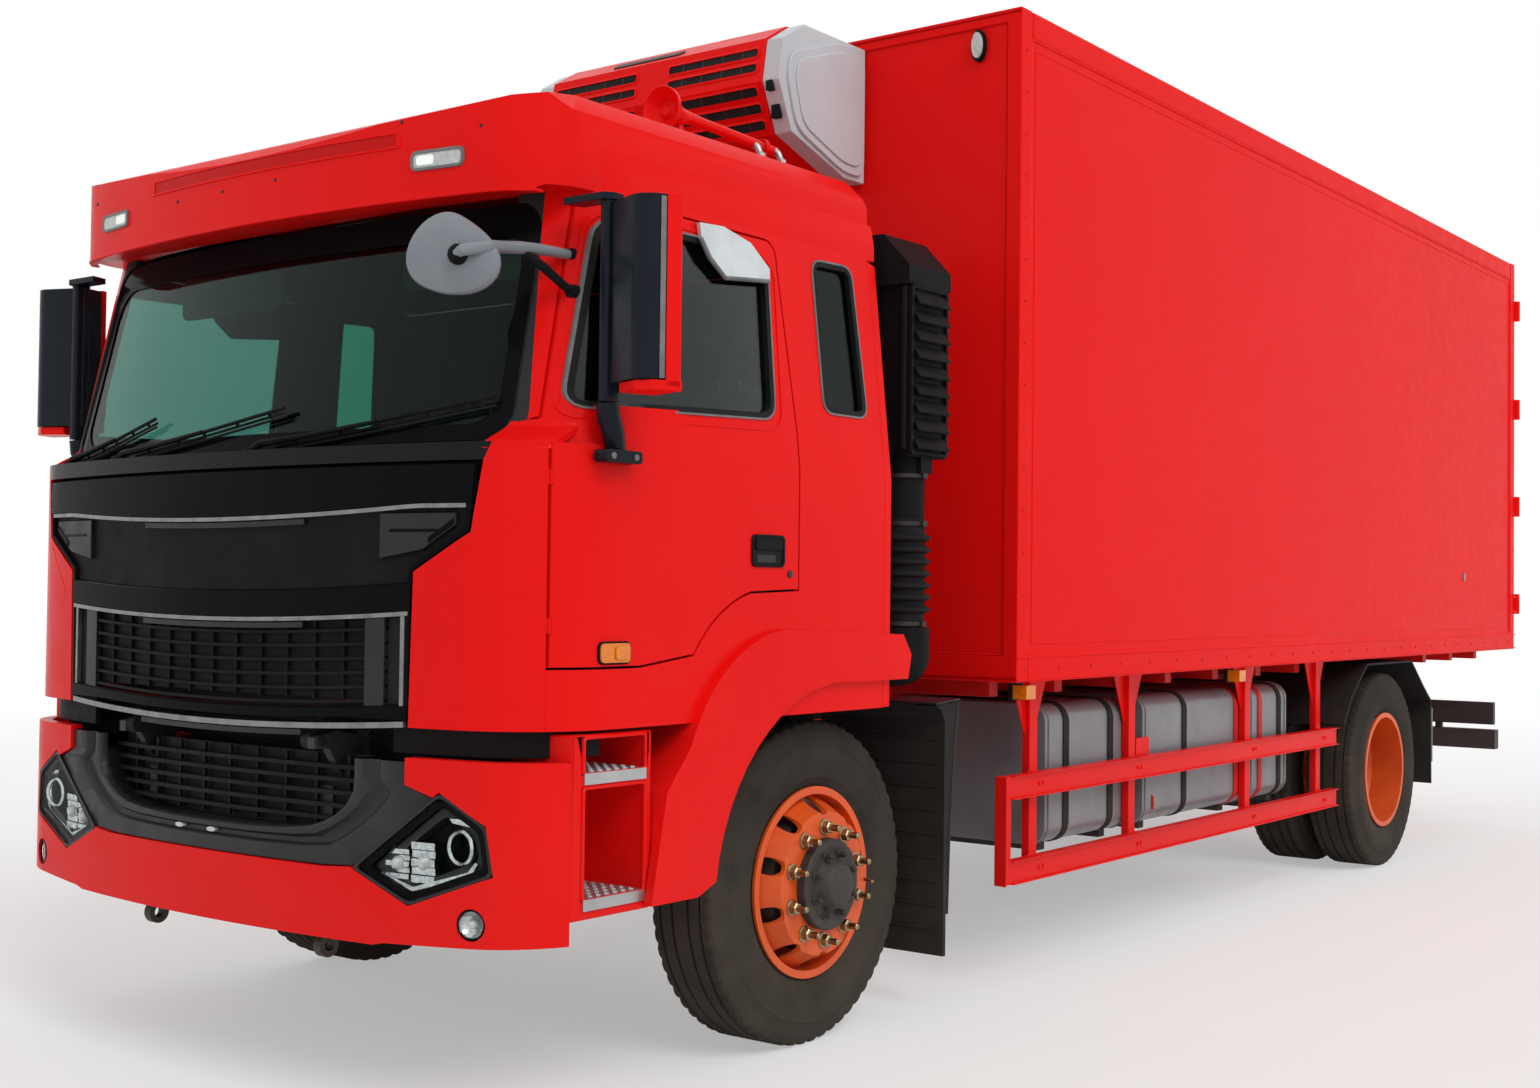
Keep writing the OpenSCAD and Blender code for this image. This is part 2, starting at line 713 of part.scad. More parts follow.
// The windscreen in (x, z), wide at the bottom.
screen_x = 1008;
module screen_outline(g) {
    offset(delta = g) offset(r = 90) offset(delta = -90)
        polygon([[-screen_x - 8, screen_z - 40], [screen_x + 8, screen_z - 40],
            [screen_x - 22, visor_z[0] - 3], [-screen_x + 22, visor_z[0] - 3]]);
}

module cab_sides() {
    color("red") from_front() difference() {
        cab_shell(0, cab_wall);
        // keeps the sides and pillars, clear of the floor, front panel and back wall
        along_y(nose_y - 1, 0) screen_outline(1);
        block(-cab_x, cab_x, nose_y - 1, hinge_y - seam, 0, belt_z + 50.5);
        block(-cab_x, cab_x, cab_rear - cab_wall, cab_rear + 1, 0, cab_top);
        block(-900, 900, nose_y, cab_rear, 0, cab_top);
        both() along_x(900, cab_x + 1) {
            door_outline(seam);
            quarter_window(0);
        }
    }
}

module cab_back_wall() {
    color("red") from_front()
        intersection() {
            cab_body(0);
            block(-cab_x, cab_x, cab_rear - cab_wall, cab_rear, cab_z, roof_z);
        }
}

// Floor with the raised tunnel over the engine, on two long members.
tunnel_x = 380;
tunnel_z = 1240;
module cab_floor() {
    color("dimgray") from_front() difference() {
        union() {
            translate([0, 0, floor_z]) linear_extrude(38)
                polygon(nose(cab_x - cab_wall, -1255, cab_rear - cab_wall, r = 250, big = nose_r));
            block(-tunnel_x, tunnel_x, -1040, cab_rear - cab_wall, floor_z, tunnel_z);
            both() block(tunnel_x, tunnel_x + 90, nose_y + 190, cab_rear - cab_wall, floor_z - 50, floor_z + 1);
            both() difference() {
                union() {
                    block(rail_x - 34, rail_x - 2, tilt_y + 2, nose_y + 200, tilt_z - 24, floor_z + 1);
                    bar_x(rail_x - 34, rail_x - 2, tilt_y, tilt_z, 24);
                }
                block(0, cab_x, tilt_y - 200, tilt_y + 30, tilt_z + 50, cab_top);
            }
        }
        block(-tunnel_x + 30, tunnel_x - 30, -1010, cab_rear, 0, tunnel_z - 38);
        both() bar_x(rail_x - 40, rail_x + 1, tilt_y, tilt_z, 15 + fit);
    }
    color("gray") from_front() both() bar_x(rail_x - 33, rail_x + 31, tilt_y, tilt_z, 15);
}

// Roof cap with the sun visor over the windscreen.
visor_z = [2478, 2712];
module cab_roof() {
    yv = nose_y + visor_back;
    color("red") from_front() difference() {
        intersection() {
            union() {
                translate([0, 0, visor_z[0]]) linear_extrude(cab_top - visor_z[0])
                    polygon(nose(roof_x, yv, cab_rear, r = 230, big = nose_r));
                translate([0, 0, roof_z]) linear_extrude(gutter_z + 20 - roof_z)
                    polygon(nose(cab_x - 80, yv + 130, cab_rear, r = 250, big = nose_r));
            }
            along_x(-cab_x, cab_x) polygon([[yv - 1, visor_z[0]], [yv - 1, visor_z[1] - 40],
                [yv + 30, visor_z[1] - 8], [yv + 110, visor_z[1] + 25], [-920, cab_top - 12],
                [-600, cab_top], [cab_rear - 130, cab_top], [cab_rear - 30, cab_top - 40],
                [cab_rear, cab_top - 110], [cab_rear, roof_z], [yv + 175, roof_z],
                [yv + 130, visor_z[0]]]);
            along_y(yv - 1, cab_rear + 1) cab_front_view(0);
        }
        translate([0, 0, roof_z - 1]) linear_extrude(cab_top - 60 - roof_z)
            polygon(nose(cab_x - 190, nose_y + 290, cab_rear - cab_wall, r = 200, big = nose_r));
    }
}

// The lid that fills the middle of the front, in (x, z), with its top corner at x = top.
module lid_outline(g, top) {
    offset(delta = g)
        polygon([[-785, cab_z - 20], [785, cab_z - 20], [795, 1462], [975, 1568], [top, lid_top],
            [-top, lid_top], [-975, 1568], [-795, 1462]]);
}
// The lid's top corners swing down past the edge of its opening, so they stand further in.
lid_top_x = 992;
lid_slot_x = 1004;
lid_t = 30;
lid_top = belt_z - 55;
module cab_front() {
    // buffers behind the lid
    color("black") from_front() intersection() {
        cab_body(lid_t + fit);
        both() bar_y(500, nose_y, -1299, 1650, 18);
    }
    color("red") from_front() difference() {
        union() {
            intersection() {
                cab_shell(0, cab_wall);
                block(-cab_x, cab_x, nose_y - 1, hinge_y - seam - 0.5, cab_z, belt_z + 50);
            }
            intersection() {
                cab_body(cab_wall - 1);
                block(-cab_x, cab_x, -1300, -1270, floor_z + 38 + fit, belt_z - 1);
            }
            // lugs with the pins of the door hinges
            intersection() {
                cab_body(1);
                both() for (z = door_pin_z)
                    block(door_pin_x - 22, door_pin_x, hinge_y - 20, hinge_y - 1, z, z + door_pin_h);
            }
            both() for (z = door_pin_z)
                bar_z(door_pin_x, hinge_y, z, z + door_pin_h, door_pin_r);
        }
        along_y(nose_y - 1, -1301) lid_outline(seam, lid_slot_x);
        along_y(nose_y - 1, 0) screen_outline(1);
    }
}
module grille_panel() {
    color("black") from_front() difference() {
        intersection() {
            cab_shell(0, lid_t);
            along_y(nose_y - 1, -1310) lid_outline(0, lid_top_x);
            block(-cab_x, cab_x, nose_y - 1, -1310, cab_z, lid_top);
        }
        along_y(nose_y - 1, -1301) for (z = [1115, 1215])
            translate([-600, z]) square([1200, 85]);
    }
}

// Windscreen and quarter windows.
module cab_glass() {
    color("lightblue", 0.4) from_front() {
        intersection() {
            cab_shell(10, 10 + glass_t);
            difference() {
                along_y(nose_y - 1, -900) screen_outline(1 - fit);
                both() along_x(900, cab_x + 1) door_outline(seam - 1);
            }
        }
        both() intersection() {
            cab_shell(14, 14 + glass_t);
            along_x(900, cab_x + 1) quarter_window(-fit);
        }
    }
}

module door_panel() {
    difference() {
        intersection() {
            cab_shell(0, cab_wall);
            along_x(900, cab_x + 1) door_outline(0);
        }
        along_x(900, cab_x + 1) door_window(0);
        // clear of the dashboard as the door swings
        block(0, cab_x - 112, nose_y, -1100, 0, belt_z + 51);
        for (z = door_pin_z)
            bar_z(door_pin_x, hinge_y, z - 2, z + door_pin_h + 2, door_pin_r + run);
    }
}
module door_glass() {
    intersection() {
        cab_shell(14, 14 + glass_t);
        along_x(900, cab_x + 1) door_window(-fit);
    }
}
module door_left() { color("red") from_front() door_panel(); }
module door_right() { color("red") from_front() mirror([1, 0, 0]) door_panel(); }
module door_glass_left() { color("lightblue", 0.4) from_front() door_glass(); }
module door_glass_right() { color("lightblue", 0.4) from_front() mirror([1, 0, 0]) door_glass(); }

// Tall mirror on two arms that are fixed to the door.
mirror_c = [1345, -1085];
mirror_z = [1930, 2440];
module door_mirror() {
    difference() {
        union() {
            translate([mirror_c[0], mirror_c[1], mirror_z[0]]) rotate([0, 0, -18])
                linear_extrude(mirror_z[1] - mirror_z[0])
                offset(r = 35) offset(delta = -35)
                translate([-118, -70]) square([225, 130]);
            bar_z(1232, -1105, 1775, 1960, 22);
            block(1160, 1262, -1135, -985, 1750, 1785);
            block(1080, 1270, -1150, -1080, 2440, 2462);
            bar_z(1232, -1105, 1785, 2462, 14);
        }
        cab_body(-fit);
        translate([0, 0, 0]) block(0, 1100, -1400, 0, 0, 3000);
    }
}
module mirror_left() { color("#1a1a1a") from_front() door_mirror(); }
module mirror_right() { color("#1a1a1a") from_front() mirror([1, 0, 0]) door_mirror(); }

// Wheel arch covers that move with the cab.
arch_r = 632;
module cab_fenders() {
    color("red") from_front() both() difference() {
        along_x(cab_x - 190, fender_x) difference() {
            polygon(concat([[-905, 560], [-845, 860]], arc(-265, 790, 515, 158, 95, 10),
                [[330, 1280], [378, 1215], [360, 1135]], arc(0, axle_z, arch_r, 84, 172, 14),
                [[-705, 560]]));
        }
        // room for the cab's side and floor
        translate([0, 0, cab_z - 0.3]) linear_extrude(1000)
            polygon(nose(cab_x + fit, nose_y, cab_rear + fit));
        along_x(0, cab_x - 60) translate([-700, 0]) square([1300, 1140]);
        block(0, step_x[1] + 6, -1000, step_y[1] + 6, 0, step_z[1] + 30);
    }
}

dash_x = 1085;
dash_y = -1270 + fit;
module dashboard() {
    color("#2a2a2a") from_front() {
        intersection() {
            along_x(-dash_x, dash_x) polygon([[dash_y, 1400], [dash_y, 1745], [-1120, 1790],
                [-930, 1750], [-870, 1640], [-885, 1430], [-1060, 1380], [-1180, 1360]]);
            cab_body(cab_wall + 8);
        }
        block(-240, 240, -1100, -960, tunnel_z + fit, 1500);
        difference() {
            translate([steer_c[0], steer_c[1], steer_c[2]]) rotate([steer_tilt, 0, 0])
                translate([0, 0, -430]) cylinder(h = 400, r = 32);
            block(0, 2000, -1300, -1000, 1200, 1360);
        }
    }
}

// Steering wheel with its hub on the column.
steer_c = [560, -610, 1800];
steer_tilt = -38;
module steering_wheel() {
    color("#1a1a1a") from_front() translate(steer_c) rotate([steer_tilt, 0, 0]) {
        rotate_extrude($fn = 64) translate([215, 0]) circle(r = 15, $fn = 20);
        translate([0, 0, -29.5]) cylinder(h = 40, r = 60);
        for (a = [35, 145, 270]) rotate([0, 0, a]) block(40, 206, -16, 16, -14, 6);
    }
}

// Two seats, each a base, a cushion, a backrest and a headrest.
seat_x = [620, -620];
seat_w = 500;
seat_back = cab_rear - cab_wall - 7;
module seats() {
    w = seat_w / 2;
    color("#303030") from_front() for (x = seat_x) translate([x, 0, 0]) {
        block(-w + 60, w - 60, seat_back - 638, seat_back - 228, floor_z + 38, 1400);
        block(-w, w, seat_back - 688, seat_back - 178, 1400, 1530);
        along_x(-w, w) translate([seat_back, 0])
            polygon([[-218, 1530 + fit], [-108, 1530 + fit], [-13, 2120], [-118, 2120]]);
        along_x(-130, 130) translate([seat_back, 0])
            polygon([[-110, 2120 + fit], [-16, 2120 + fit], [0, 2290], [-88, 2290]]);
    }
}

// Small oval mirror in front of the windscreen, on an arm from the pillar.
kerb_c = [960, -1420, 2285];
kerb_foot = [1046, -1092, 2320];
kerb_brace = [1050, -1118, 2215];
kerb_join = kerb_foot + 0.6 * (kerb_c - kerb_foot);
module kerb_mirror() {
    color("gray") from_front() difference() {
        union() {
            translate(kerb_c) rotate([90, 0, 12])
                linear_extrude(45, center = true) offset(r = 70) square([150, 100], center = true);
            hull() {
                translate(kerb_foot) sphere(r = 16, $fn = 16);
                translate([kerb_c[0], kerb_c[1] + 12, kerb_c[2]]) sphere(r = 16, $fn = 16);
            }
            hull() {
                translate(kerb_brace) sphere(r = 13, $fn = 16);
                translate(kerb_join) sphere(r = 13, $fn = 16);
            }
        }
        cab_body(-fit);
    }
}

// Horn with its air pipe along the roof.
horn_c = [905, -470, 2862];
module roof_horn() {
    color("red") from_front() difference() {
        union() {
            translate(horn_c) rotate([90, 0, 0]) cylinder(h = 60, r = 72);
            bar_y(horn_c[0], horn_c[1] - 1, 60, horn_c[2] - 20, 16);
            for (y = [-430, 20]) bar_z(horn_c[0], y, 2700, horn_c[2] - 20, 22);
        }
        translate([0, 0, -fit]) cab_roof_solid();
    }
}
module cab_roof_solid() {
    along_y(-1000, cab_rear) translate([0, 2 * fit]) cab_front_view(0);
}

// ---- steering and wheels ----

fork_gap = run;
ear_t = 34;
module knuckle() {
    translate([kingpin_x, 0, axle_z]) {
        for (s = [-1, 1])
            translate([0, 0, s * (eye_half + fork_gap + ear_t / 2)])
                block(-44, 90, -44, 44, -ear_t / 2, ear_t / 2);
        cylinder(h = 2 * (eye_half + fork_gap + ear_t), r = kingpin_r, center = true);
        block(60, 95, -60, 60, -eye_half - ear_t, eye_half + ear_t);
        bar_x(61, dish + front_track_x - kingpin_x + 8, 0, 0, spindle_r);
        // arm to the tie rod, from the lower ear
        block(-20, 20, 30, arm_y + 24, arm_z - axle_z - 12, arm_z - axle_z + 12);
        block(-20, 20, 24, 60, arm_z - axle_z - 12, -eye_half - fork_gap);
        translate([0, arm_y, arm_z - axle_z - 50]) cylinder(h = 60, r = 12);
    }
}
module knuckle_left() { color("dimgray") from_front() knuckle(); }
module knuckle_right() { color("dimgray") from_front() mirror([1, 0, 0]) knuckle(); }

module tie_rod() {
    rod_z = arm_z - 36;
    color("gray") from_front() difference() {
        union() {
            bar_x(-kingpin_x, kingpin_x, arm_y, rod_z, 17);
            both() bar_z(kingpin_x, arm_y, rod_z - 20, rod_z + 20, 28);
        }
        both() bar_z(kingpin_x, arm_y, rod_z - 60, rod_z + 60, 12 + run);
    }
}

// Tyre section: flat tread, round shoulders and bulged sides down to the bead.
bead_r = rim_d / 2 - 12;
module tyre(x) {
    w = tyre_w / 2;
    r = tyre_d / 2;
    translate([x, 0, axle_z]) rotate([0, 90, 0])
        rotate_extrude($fn = 96)
        polygon(concat([[bead_r, -w + 34]], arc(rim_d / 2 + 92, 0, w, -118, -62, 5) ,
            [[r - 26, -w + 16], [r - 6, -w + 26], [r, -w + 42], [r, w - 42], [r - 6, w - 26],
            [r - 26, w - 16]], arc(rim_d / 2 + 92, 0, w, 62, 118, 5), [[bead_r, w - 34]]));
}

// Rim: barrel with flanges and a dished disc with hand holes; a hub from h0 to h1 along the
// axle where it has one.
barrel_t = 12;
module rim(x, side, h0, h1, bore) {
    w = tyre_w / 2 - 34;
    r = bead_r;
    d = side * dish;
    s = side;
    translate([x, 0, axle_z]) rotate([0, 90, 0]) difference() {
        union() {
            rotate_extrude($fn = 96)
                polygon([[r - barrel_t, -w - 18], [rim_d / 2, -w - 18], [rim_d / 2, -w - 8],
                    [r - 0, -w - 8], [r - 0, w + 8], [rim_d / 2, w + 8], [rim_d / 2, w + 18],
                    [r - barrel_t, w + 18]]);
            rotate_extrude($fn = 96)
                polygon([[hub_r - (h1 > h0 ? 1 : -fit), d], [hub_r - (h1 > h0 ? 1 : -fit), d - s * disc_t], [215, d - s * disc_t],
                    [r - barrel_t + 1, s * 40], [r - barrel_t + 1, s * 62], [222, d]]);
            if (h1 > h0) translate([0, 0, h0]) cylinder(h = h1 - h0, r = hub_r);
        }
        for (a = [0:36:324]) rotate([0, 0, a]) {
            translate([240, 0, d - s * 50]) cylinder(h = 160, r = 27, center = true);
        }
        translate([0, 0, -400]) cylinder(h = 800, r = bore);
    }
}

hub_out = 30;
hub_in = 85;
module tyre_front_left() { color("#262626") from_front() tyre(front_track_x); }
module tyre_front_right() { color("#262626") from_front() tyre(-front_track_x); }
module rim_front() {
    color("orangered") from_front()
        rim(front_track_x, 1, dish - hub_in, dish + hub_out, spindle_r + run);
}
module rim_front_left() { rim_front(); }
module rim_front_right() { mirror([1, 0, 0]) rim_front(); }
module tyres_rear() {
    color("#262626") from_rear() {
        tyre(rear_track_x);
        tyre(rear_track_x - dual_gap);
    }
}
module tyres_rear_left() { tyres_rear(); }
module tyres_rear_right() { mirror([1, 0, 0]) tyres_rear(); }
module rims_rear() {
    color("orangered") from_rear() {
        rim(rear_track_x, -1, -dish - hub_in, -dish + 100, rear_spindle_r + run);
        rim(rear_track_x - dual_gap, 1, 0, 0, hub_r + fit);
    }
}
module rims_rear_left() { rims_rear(); }
module rims_rear_right() { mirror([1, 0, 0]) rims_rear(); }

// ---- what is drawn ----

frame_rails();
cross_members();
front_bumper();
bumper_surround();
front_lamps();
front_axle();
rear_axle();
leaf_springs();
driveshaft();
engine_block();
chassis_tanks();
side_guards();
mudguards();
step_boxes();
air_intake();
rear_bumper();
box_subframe();
box_floor();
box_sides();
box_roof();
box_front_wall();
box_rear_frame();
cooling_unit();
cooling_cover();
cab_floor();
cab_back_wall();
cab_roof();
cab_sides();
cab_front();
cab_glass();
dashboard();
seats();
cab_fenders();
kerb_mirror();
roof_horn();
grille_panel();
door_left();
door_right();
door_glass_left();
door_glass_right();
mirror_left();
mirror_right();
steering_wheel();
knuckle_left();
knuckle_right();
tie_rod();
tyre_front_left();
tyre_front_right();
tyres_rear_left();
tyres_rear_right();
rim_front_left();
rim_front_right();
rims_rear_left();
rims_rear_right();
cargo_door_left();
cargo_door_right();
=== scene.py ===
import json
import math

import bmesh
import bpy
from mathutils import Matrix, Vector

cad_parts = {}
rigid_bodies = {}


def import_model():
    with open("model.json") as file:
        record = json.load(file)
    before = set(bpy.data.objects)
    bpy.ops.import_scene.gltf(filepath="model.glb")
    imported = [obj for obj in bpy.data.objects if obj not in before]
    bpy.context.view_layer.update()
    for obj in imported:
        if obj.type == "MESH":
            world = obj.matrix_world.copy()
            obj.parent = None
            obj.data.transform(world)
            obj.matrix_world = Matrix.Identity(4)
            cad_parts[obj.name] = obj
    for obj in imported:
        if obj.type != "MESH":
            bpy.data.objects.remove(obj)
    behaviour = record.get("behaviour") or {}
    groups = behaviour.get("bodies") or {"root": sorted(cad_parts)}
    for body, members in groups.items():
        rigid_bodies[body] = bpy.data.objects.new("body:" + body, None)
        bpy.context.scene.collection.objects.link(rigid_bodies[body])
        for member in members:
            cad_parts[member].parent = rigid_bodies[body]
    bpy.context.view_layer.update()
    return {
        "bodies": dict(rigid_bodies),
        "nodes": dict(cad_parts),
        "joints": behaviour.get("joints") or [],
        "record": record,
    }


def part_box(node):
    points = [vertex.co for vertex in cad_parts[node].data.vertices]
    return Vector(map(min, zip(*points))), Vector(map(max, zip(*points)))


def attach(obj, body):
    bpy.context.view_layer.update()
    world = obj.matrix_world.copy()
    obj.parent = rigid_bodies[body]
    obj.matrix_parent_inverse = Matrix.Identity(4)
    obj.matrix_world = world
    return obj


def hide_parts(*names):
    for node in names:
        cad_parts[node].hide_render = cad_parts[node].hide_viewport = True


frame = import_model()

for leftover in ("Cube", "Light", "Camera"):
    if leftover in bpy.data.objects:
        bpy.data.objects.remove(bpy.data.objects[leftover])
nodes = frame["nodes"]
print("frame loaded:", len(nodes), "nodes")


# shader groups that several finishes share
def newGroup(name, inputs, outputs):
    group = bpy.data.node_groups.new(name, "ShaderNodeTree")
    for label, kind, value in inputs:
        socket = group.interface.new_socket(label, in_out="INPUT", socket_type=kind)
        socket.default_value = value
    for label, kind in outputs:
        group.interface.new_socket(label, in_out="OUTPUT", socket_type=kind)
    return group, group.nodes.new("NodeGroupInput"), group.nodes.new("NodeGroupOutput")


def feed(tree, socket, value):
    if isinstance(value, bpy.types.NodeSocket):
        tree.links.new(value, socket)
    else:
        socket.default_value = value


def mathNode(tree, kind, a, b=0.0, clamp=False):
    node = tree.nodes.new("ShaderNodeMath")
    node.operation = kind
    node.use_clamp = clamp
    feed(tree, node.inputs[0], a)
    feed(tree, node.inputs[1], b)
    return node.outputs[0]


def noiseNode(tree, vector, scale, detail=4.0, rough=0.55):
    node = tree.nodes.new("ShaderNodeTexNoise")
    node.inputs["Detail"].default_value = detail
    node.inputs["Roughness"].default_value = rough
    feed(tree, node.inputs["Scale"], scale)
    tree.links.new(vector, node.inputs["Vector"])
    return node.outputs["Fac"]


def spanNode(tree, value, low, high, toLow=0.0, toHigh=1.0):
    node = tree.nodes.new("ShaderNodeMapRange")
    for label, v in (("Value", value), ("From Min", low), ("From Max", high),
                     ("To Min", toLow), ("To Max", toHigh)):
        feed(tree, node.inputs[label], v)
    return node.outputs["Result"]


def mixColor(tree, fac, a, b):
    node = tree.nodes.new("ShaderNodeMix")
    node.data_type = "RGBA"
    feed(tree, node.inputs[0], fac)
    feed(tree, node.inputs[6], a)
    feed(tree, node.inputs[7], b)
    return node.outputs[2]


def objectSpot(tree):
    return tree.nodes.new("ShaderNodeTexCoord").outputs["Object"]


def makeToneGroup():  # two close tones in soft patches
    group, gin, gout = newGroup("softTone", [
        ("Light", "NodeSocketColor", (1, 1, 1, 1)), ("Dark", "NodeSocketColor", (0, 0, 0, 1)),
        ("Scale", "NodeSocketFloat", 3.0)], [("Color", "NodeSocketColor")])
    patch = noiseNode(group, objectSpot(group), gin.outputs["Scale"], 3.0)
    fac = spanNode(group, patch, 0.3, 0.7)
    color = mixColor(group, fac, gin.outputs["Light"], gin.outputs["Dark"])
    group.links.new(color, gout.inputs["Color"])
    return group


def makeDustGroup():  # road dust, thick low down and gone at the High level
    group, gin, gout = newGroup("roadDust", [
        ("Amount", "NodeSocketFloat", 0.2), ("Low", "NodeSocketFloat", 0.3),
        ("High", "NodeSocketFloat", 1.4), ("Scale", "NodeSocketFloat", 4.0)],
        [("Mask", "NodeSocketFloat")])
    spot = objectSpot(group)
    split = group.nodes.new("ShaderNodeSeparateXYZ")
    group.links.new(spot, split.inputs["Vector"])
    height = spanNode(group, split.outputs["Z"], gin.outputs["Low"], gin.outputs["High"],
                      1.0, 0.0)
    cloud = noiseNode(group, spot, gin.outputs["Scale"], 6.0, 0.65)
    mask = mathNode(group, "MULTIPLY", height, cloud)
    mask = mathNode(group, "MULTIPLY", mask, gin.outputs["Amount"])
    mask = mathNode(group, "MULTIPLY", mask, 2.0, clamp=True)
    group.links.new(mask, gout.inputs["Mask"])
    return group


def makeGrainGroup():  # fine height for paint peel, moulded grain and rubber
    group, gin, gout = newGroup("fineGrain", [
        ("Scale", "NodeSocketFloat", 300.0), ("Coarse", "NodeSocketFloat", 20.0)],
        [("Height", "NodeSocketFloat"), ("Patch", "NodeSocketFloat")])
    spot = objectSpot(group)
    group.links.new(noiseNode(group, spot, gin.outputs["Scale"], 2.0), gout.inputs["Height"])
    group.links.new(noiseNode(group, spot, gin.outputs["Coarse"], 4.0), gout.inputs["Patch"])
    return group


def makeZoneGroup():  # where the cab is black in front, and where one looks at its inside
    group, gin, gout = newGroup("cabZones", [
        ("Half", "NodeSocketFloat", 1.047), ("Low", "NodeSocketFloat", 1.72),
        ("Front", "NodeSocketFloat", -3.90), ("Wall", "NodeSocketFloat", 1.190),
        ("Rear", "NodeSocketFloat", -2.66), ("Roof", "NodeSocketFloat", 2.70)],
        [("Black", "NodeSocketFloat"), ("Inside", "NodeSocketFloat"),
         ("Both", "NodeSocketFloat")])
    knee = {"under": 1.83, "underSlope": 0.45, "over": 1.90, "overSlope": 0.112,
            "wall": 1.71, "wallSlope": 0.106}

    def ramp(a, b, slope):  # slope times a - b, and never under 0
        rise = mathNode(group, "MULTIPLY", mathNode(group, "SUBTRACT", a, b), slope)
        return mathNode(group, "MAXIMUM", rise, 0.0)

    def allOf(mask, *tests):
        for kind, a, limit in tests:
            mask = mathNode(group, "MULTIPLY", mask, mathNode(group, kind, a, gin.outputs[limit]))
        return mask

    split = group.nodes.new("ShaderNodeSeparateXYZ")
    group.links.new(objectSpot(group), split.inputs["Vector"])
    wide = mathNode(group, "ABSOLUTE", split.outputs["X"])
    y, z = split.outputs["Y"], split.outputs["Z"]
    taper = mathNode(group, "MAXIMUM", ramp(knee["under"], z, knee["underSlope"]),
                     ramp(z, knee["over"], knee["overSlope"]))
    edge = mathNode(group, "SUBTRACT", gin.outputs["Half"], taper)
    black = allOf(mathNode(group, "LESS_THAN", wide, edge), ("GREATER_THAN", z, "Low"),
                  ("LESS_THAN", y, "Front"))
    lean = mathNode(group, "ADD", wide, ramp(z, knee["wall"], knee["wallSlope"]))
    inside = allOf(mathNode(group, "LESS_THAN", lean, gin.outputs["Wall"]),
                   ("LESS_THAN", y, "Rear"), ("LESS_THAN", z, "Roof"), ("GREATER_THAN", y, "Front"))
    group.links.new(black, gout.inputs["Black"])
    group.links.new(inside, gout.inputs["Inside"])
    group.links.new(mathNode(group, "MAXIMUM", black, inside), gout.inputs["Both"])
    return group


toneGroup, dustGroup, grainGroup = makeToneGroup(), makeDustGroup(), makeGrainGroup()
zoneGroup = makeZoneGroup()


def groupNode(tree, group, **values):
    node = tree.nodes.new("ShaderNodeGroup")
    node.node_tree = group
    for label, value in values.items():
        feed(tree, node.inputs[label], value)
    return node


def rgba(color):
    return (color[0], color[1], color[2], 1.0)


def finish(name, light, dark=None, rough=0.4, roughSpan=0.08, metal=0.0, coat=0.0,
           coatRough=0.04, tone=2.5, grain=400.0, coarse=12.0, bump=0.05, bumpDeep=0.0004,
           dust=0.0, dustTop=1.5, dustTone=(0.21, 0.17, 0.13), sheen=0.0, glow=0.0, spec=0.3,
           zone=None, zoneTone=(0.012, 0.012, 0.013), zoneRough=0.3):
    mat = bpy.data.materials.new(name)
    mat.use_nodes = True
    tree = mat.node_tree
    shader = tree.nodes["Principled BSDF"]
    dark = dark or [0.86 * c for c in light]
    color = groupNode(tree, toneGroup, Light=rgba(light), Dark=rgba(dark), Scale=tone).outputs[0]
    skin = groupNode(tree, grainGroup, Scale=grain, Coarse=coarse)
    gloss = spanNode(tree, skin.outputs["Patch"], 0.3, 0.7, rough - roughSpan, rough + roughSpan)
    if zone:  # a second colour where the zone's mask says so
        part = groupNode(tree, zoneGroup).outputs[zone]
        color = mixColor(tree, part, color, rgba(zoneTone))
        gloss = spanNode(tree, part, 0.0, 1.0, gloss, zoneRough)
    if dust:
        dirt = groupNode(tree, dustGroup, Amount=dust, High=dustTop).outputs["Mask"]
        color = mixColor(tree, dirt, color, rgba(dustTone))
        gloss = mathNode(tree, "ADD", gloss, mathNode(tree, "MULTIPLY", dirt, 0.5), clamp=True)
    relief = tree.nodes.new("ShaderNodeBump")
    relief.inputs["Strength"].default_value = bump
    relief.inputs["Distance"].default_value = bumpDeep
    tree.links.new(skin.outputs["Height"], relief.inputs["Height"])
    tree.links.new(color, shader.inputs["Base Color"])
    tree.links.new(gloss, shader.inputs["Roughness"])
    tree.links.new(relief.outputs["Normal"], shader.inputs["Normal"])
    shader.inputs["Metallic"].default_value = metal
    shader.inputs["Specular IOR Level"].default_value = spec
    shader.inputs["Coat Weight"].default_value = coat
    shader.inputs["Coat Roughness"].default_value = coatRough
    shader.inputs["Sheen Weight"].default_value = sheen
    if glow:
        tree.links.new(color, shader.inputs["Emission Color"])
        shader.inputs["Emission Strength"].default_value = glow
    return mat


def glassFinish(name, tint, rough=0.0, ior=1.45):
    mat = bpy.data.materials.new(name)
    mat.use_nodes = True
    tree = mat.node_tree
    shader = tree.nodes["Principled BSDF"]
    color = groupNode(tree, toneGroup, Light=rgba(tint), Dark=rgba([0.96 * c for c in tint]),
                      Scale=1.5).outputs[0]
    skin = groupNode(tree, grainGroup, Scale=3.0, Coarse=5.0)
    gloss = spanNode(tree, skin.outputs["Patch"], 0.3, 0.7, rough, rough + 0.005)
    tree.links.new(color, shader.inputs["Base Color"])
    tree.links.new(gloss, shader.inputs["Roughness"])
    shader.inputs["Transmission Weight"].default_value = 1.0
    shader.inputs["IOR"].default_value = ior
    return mat


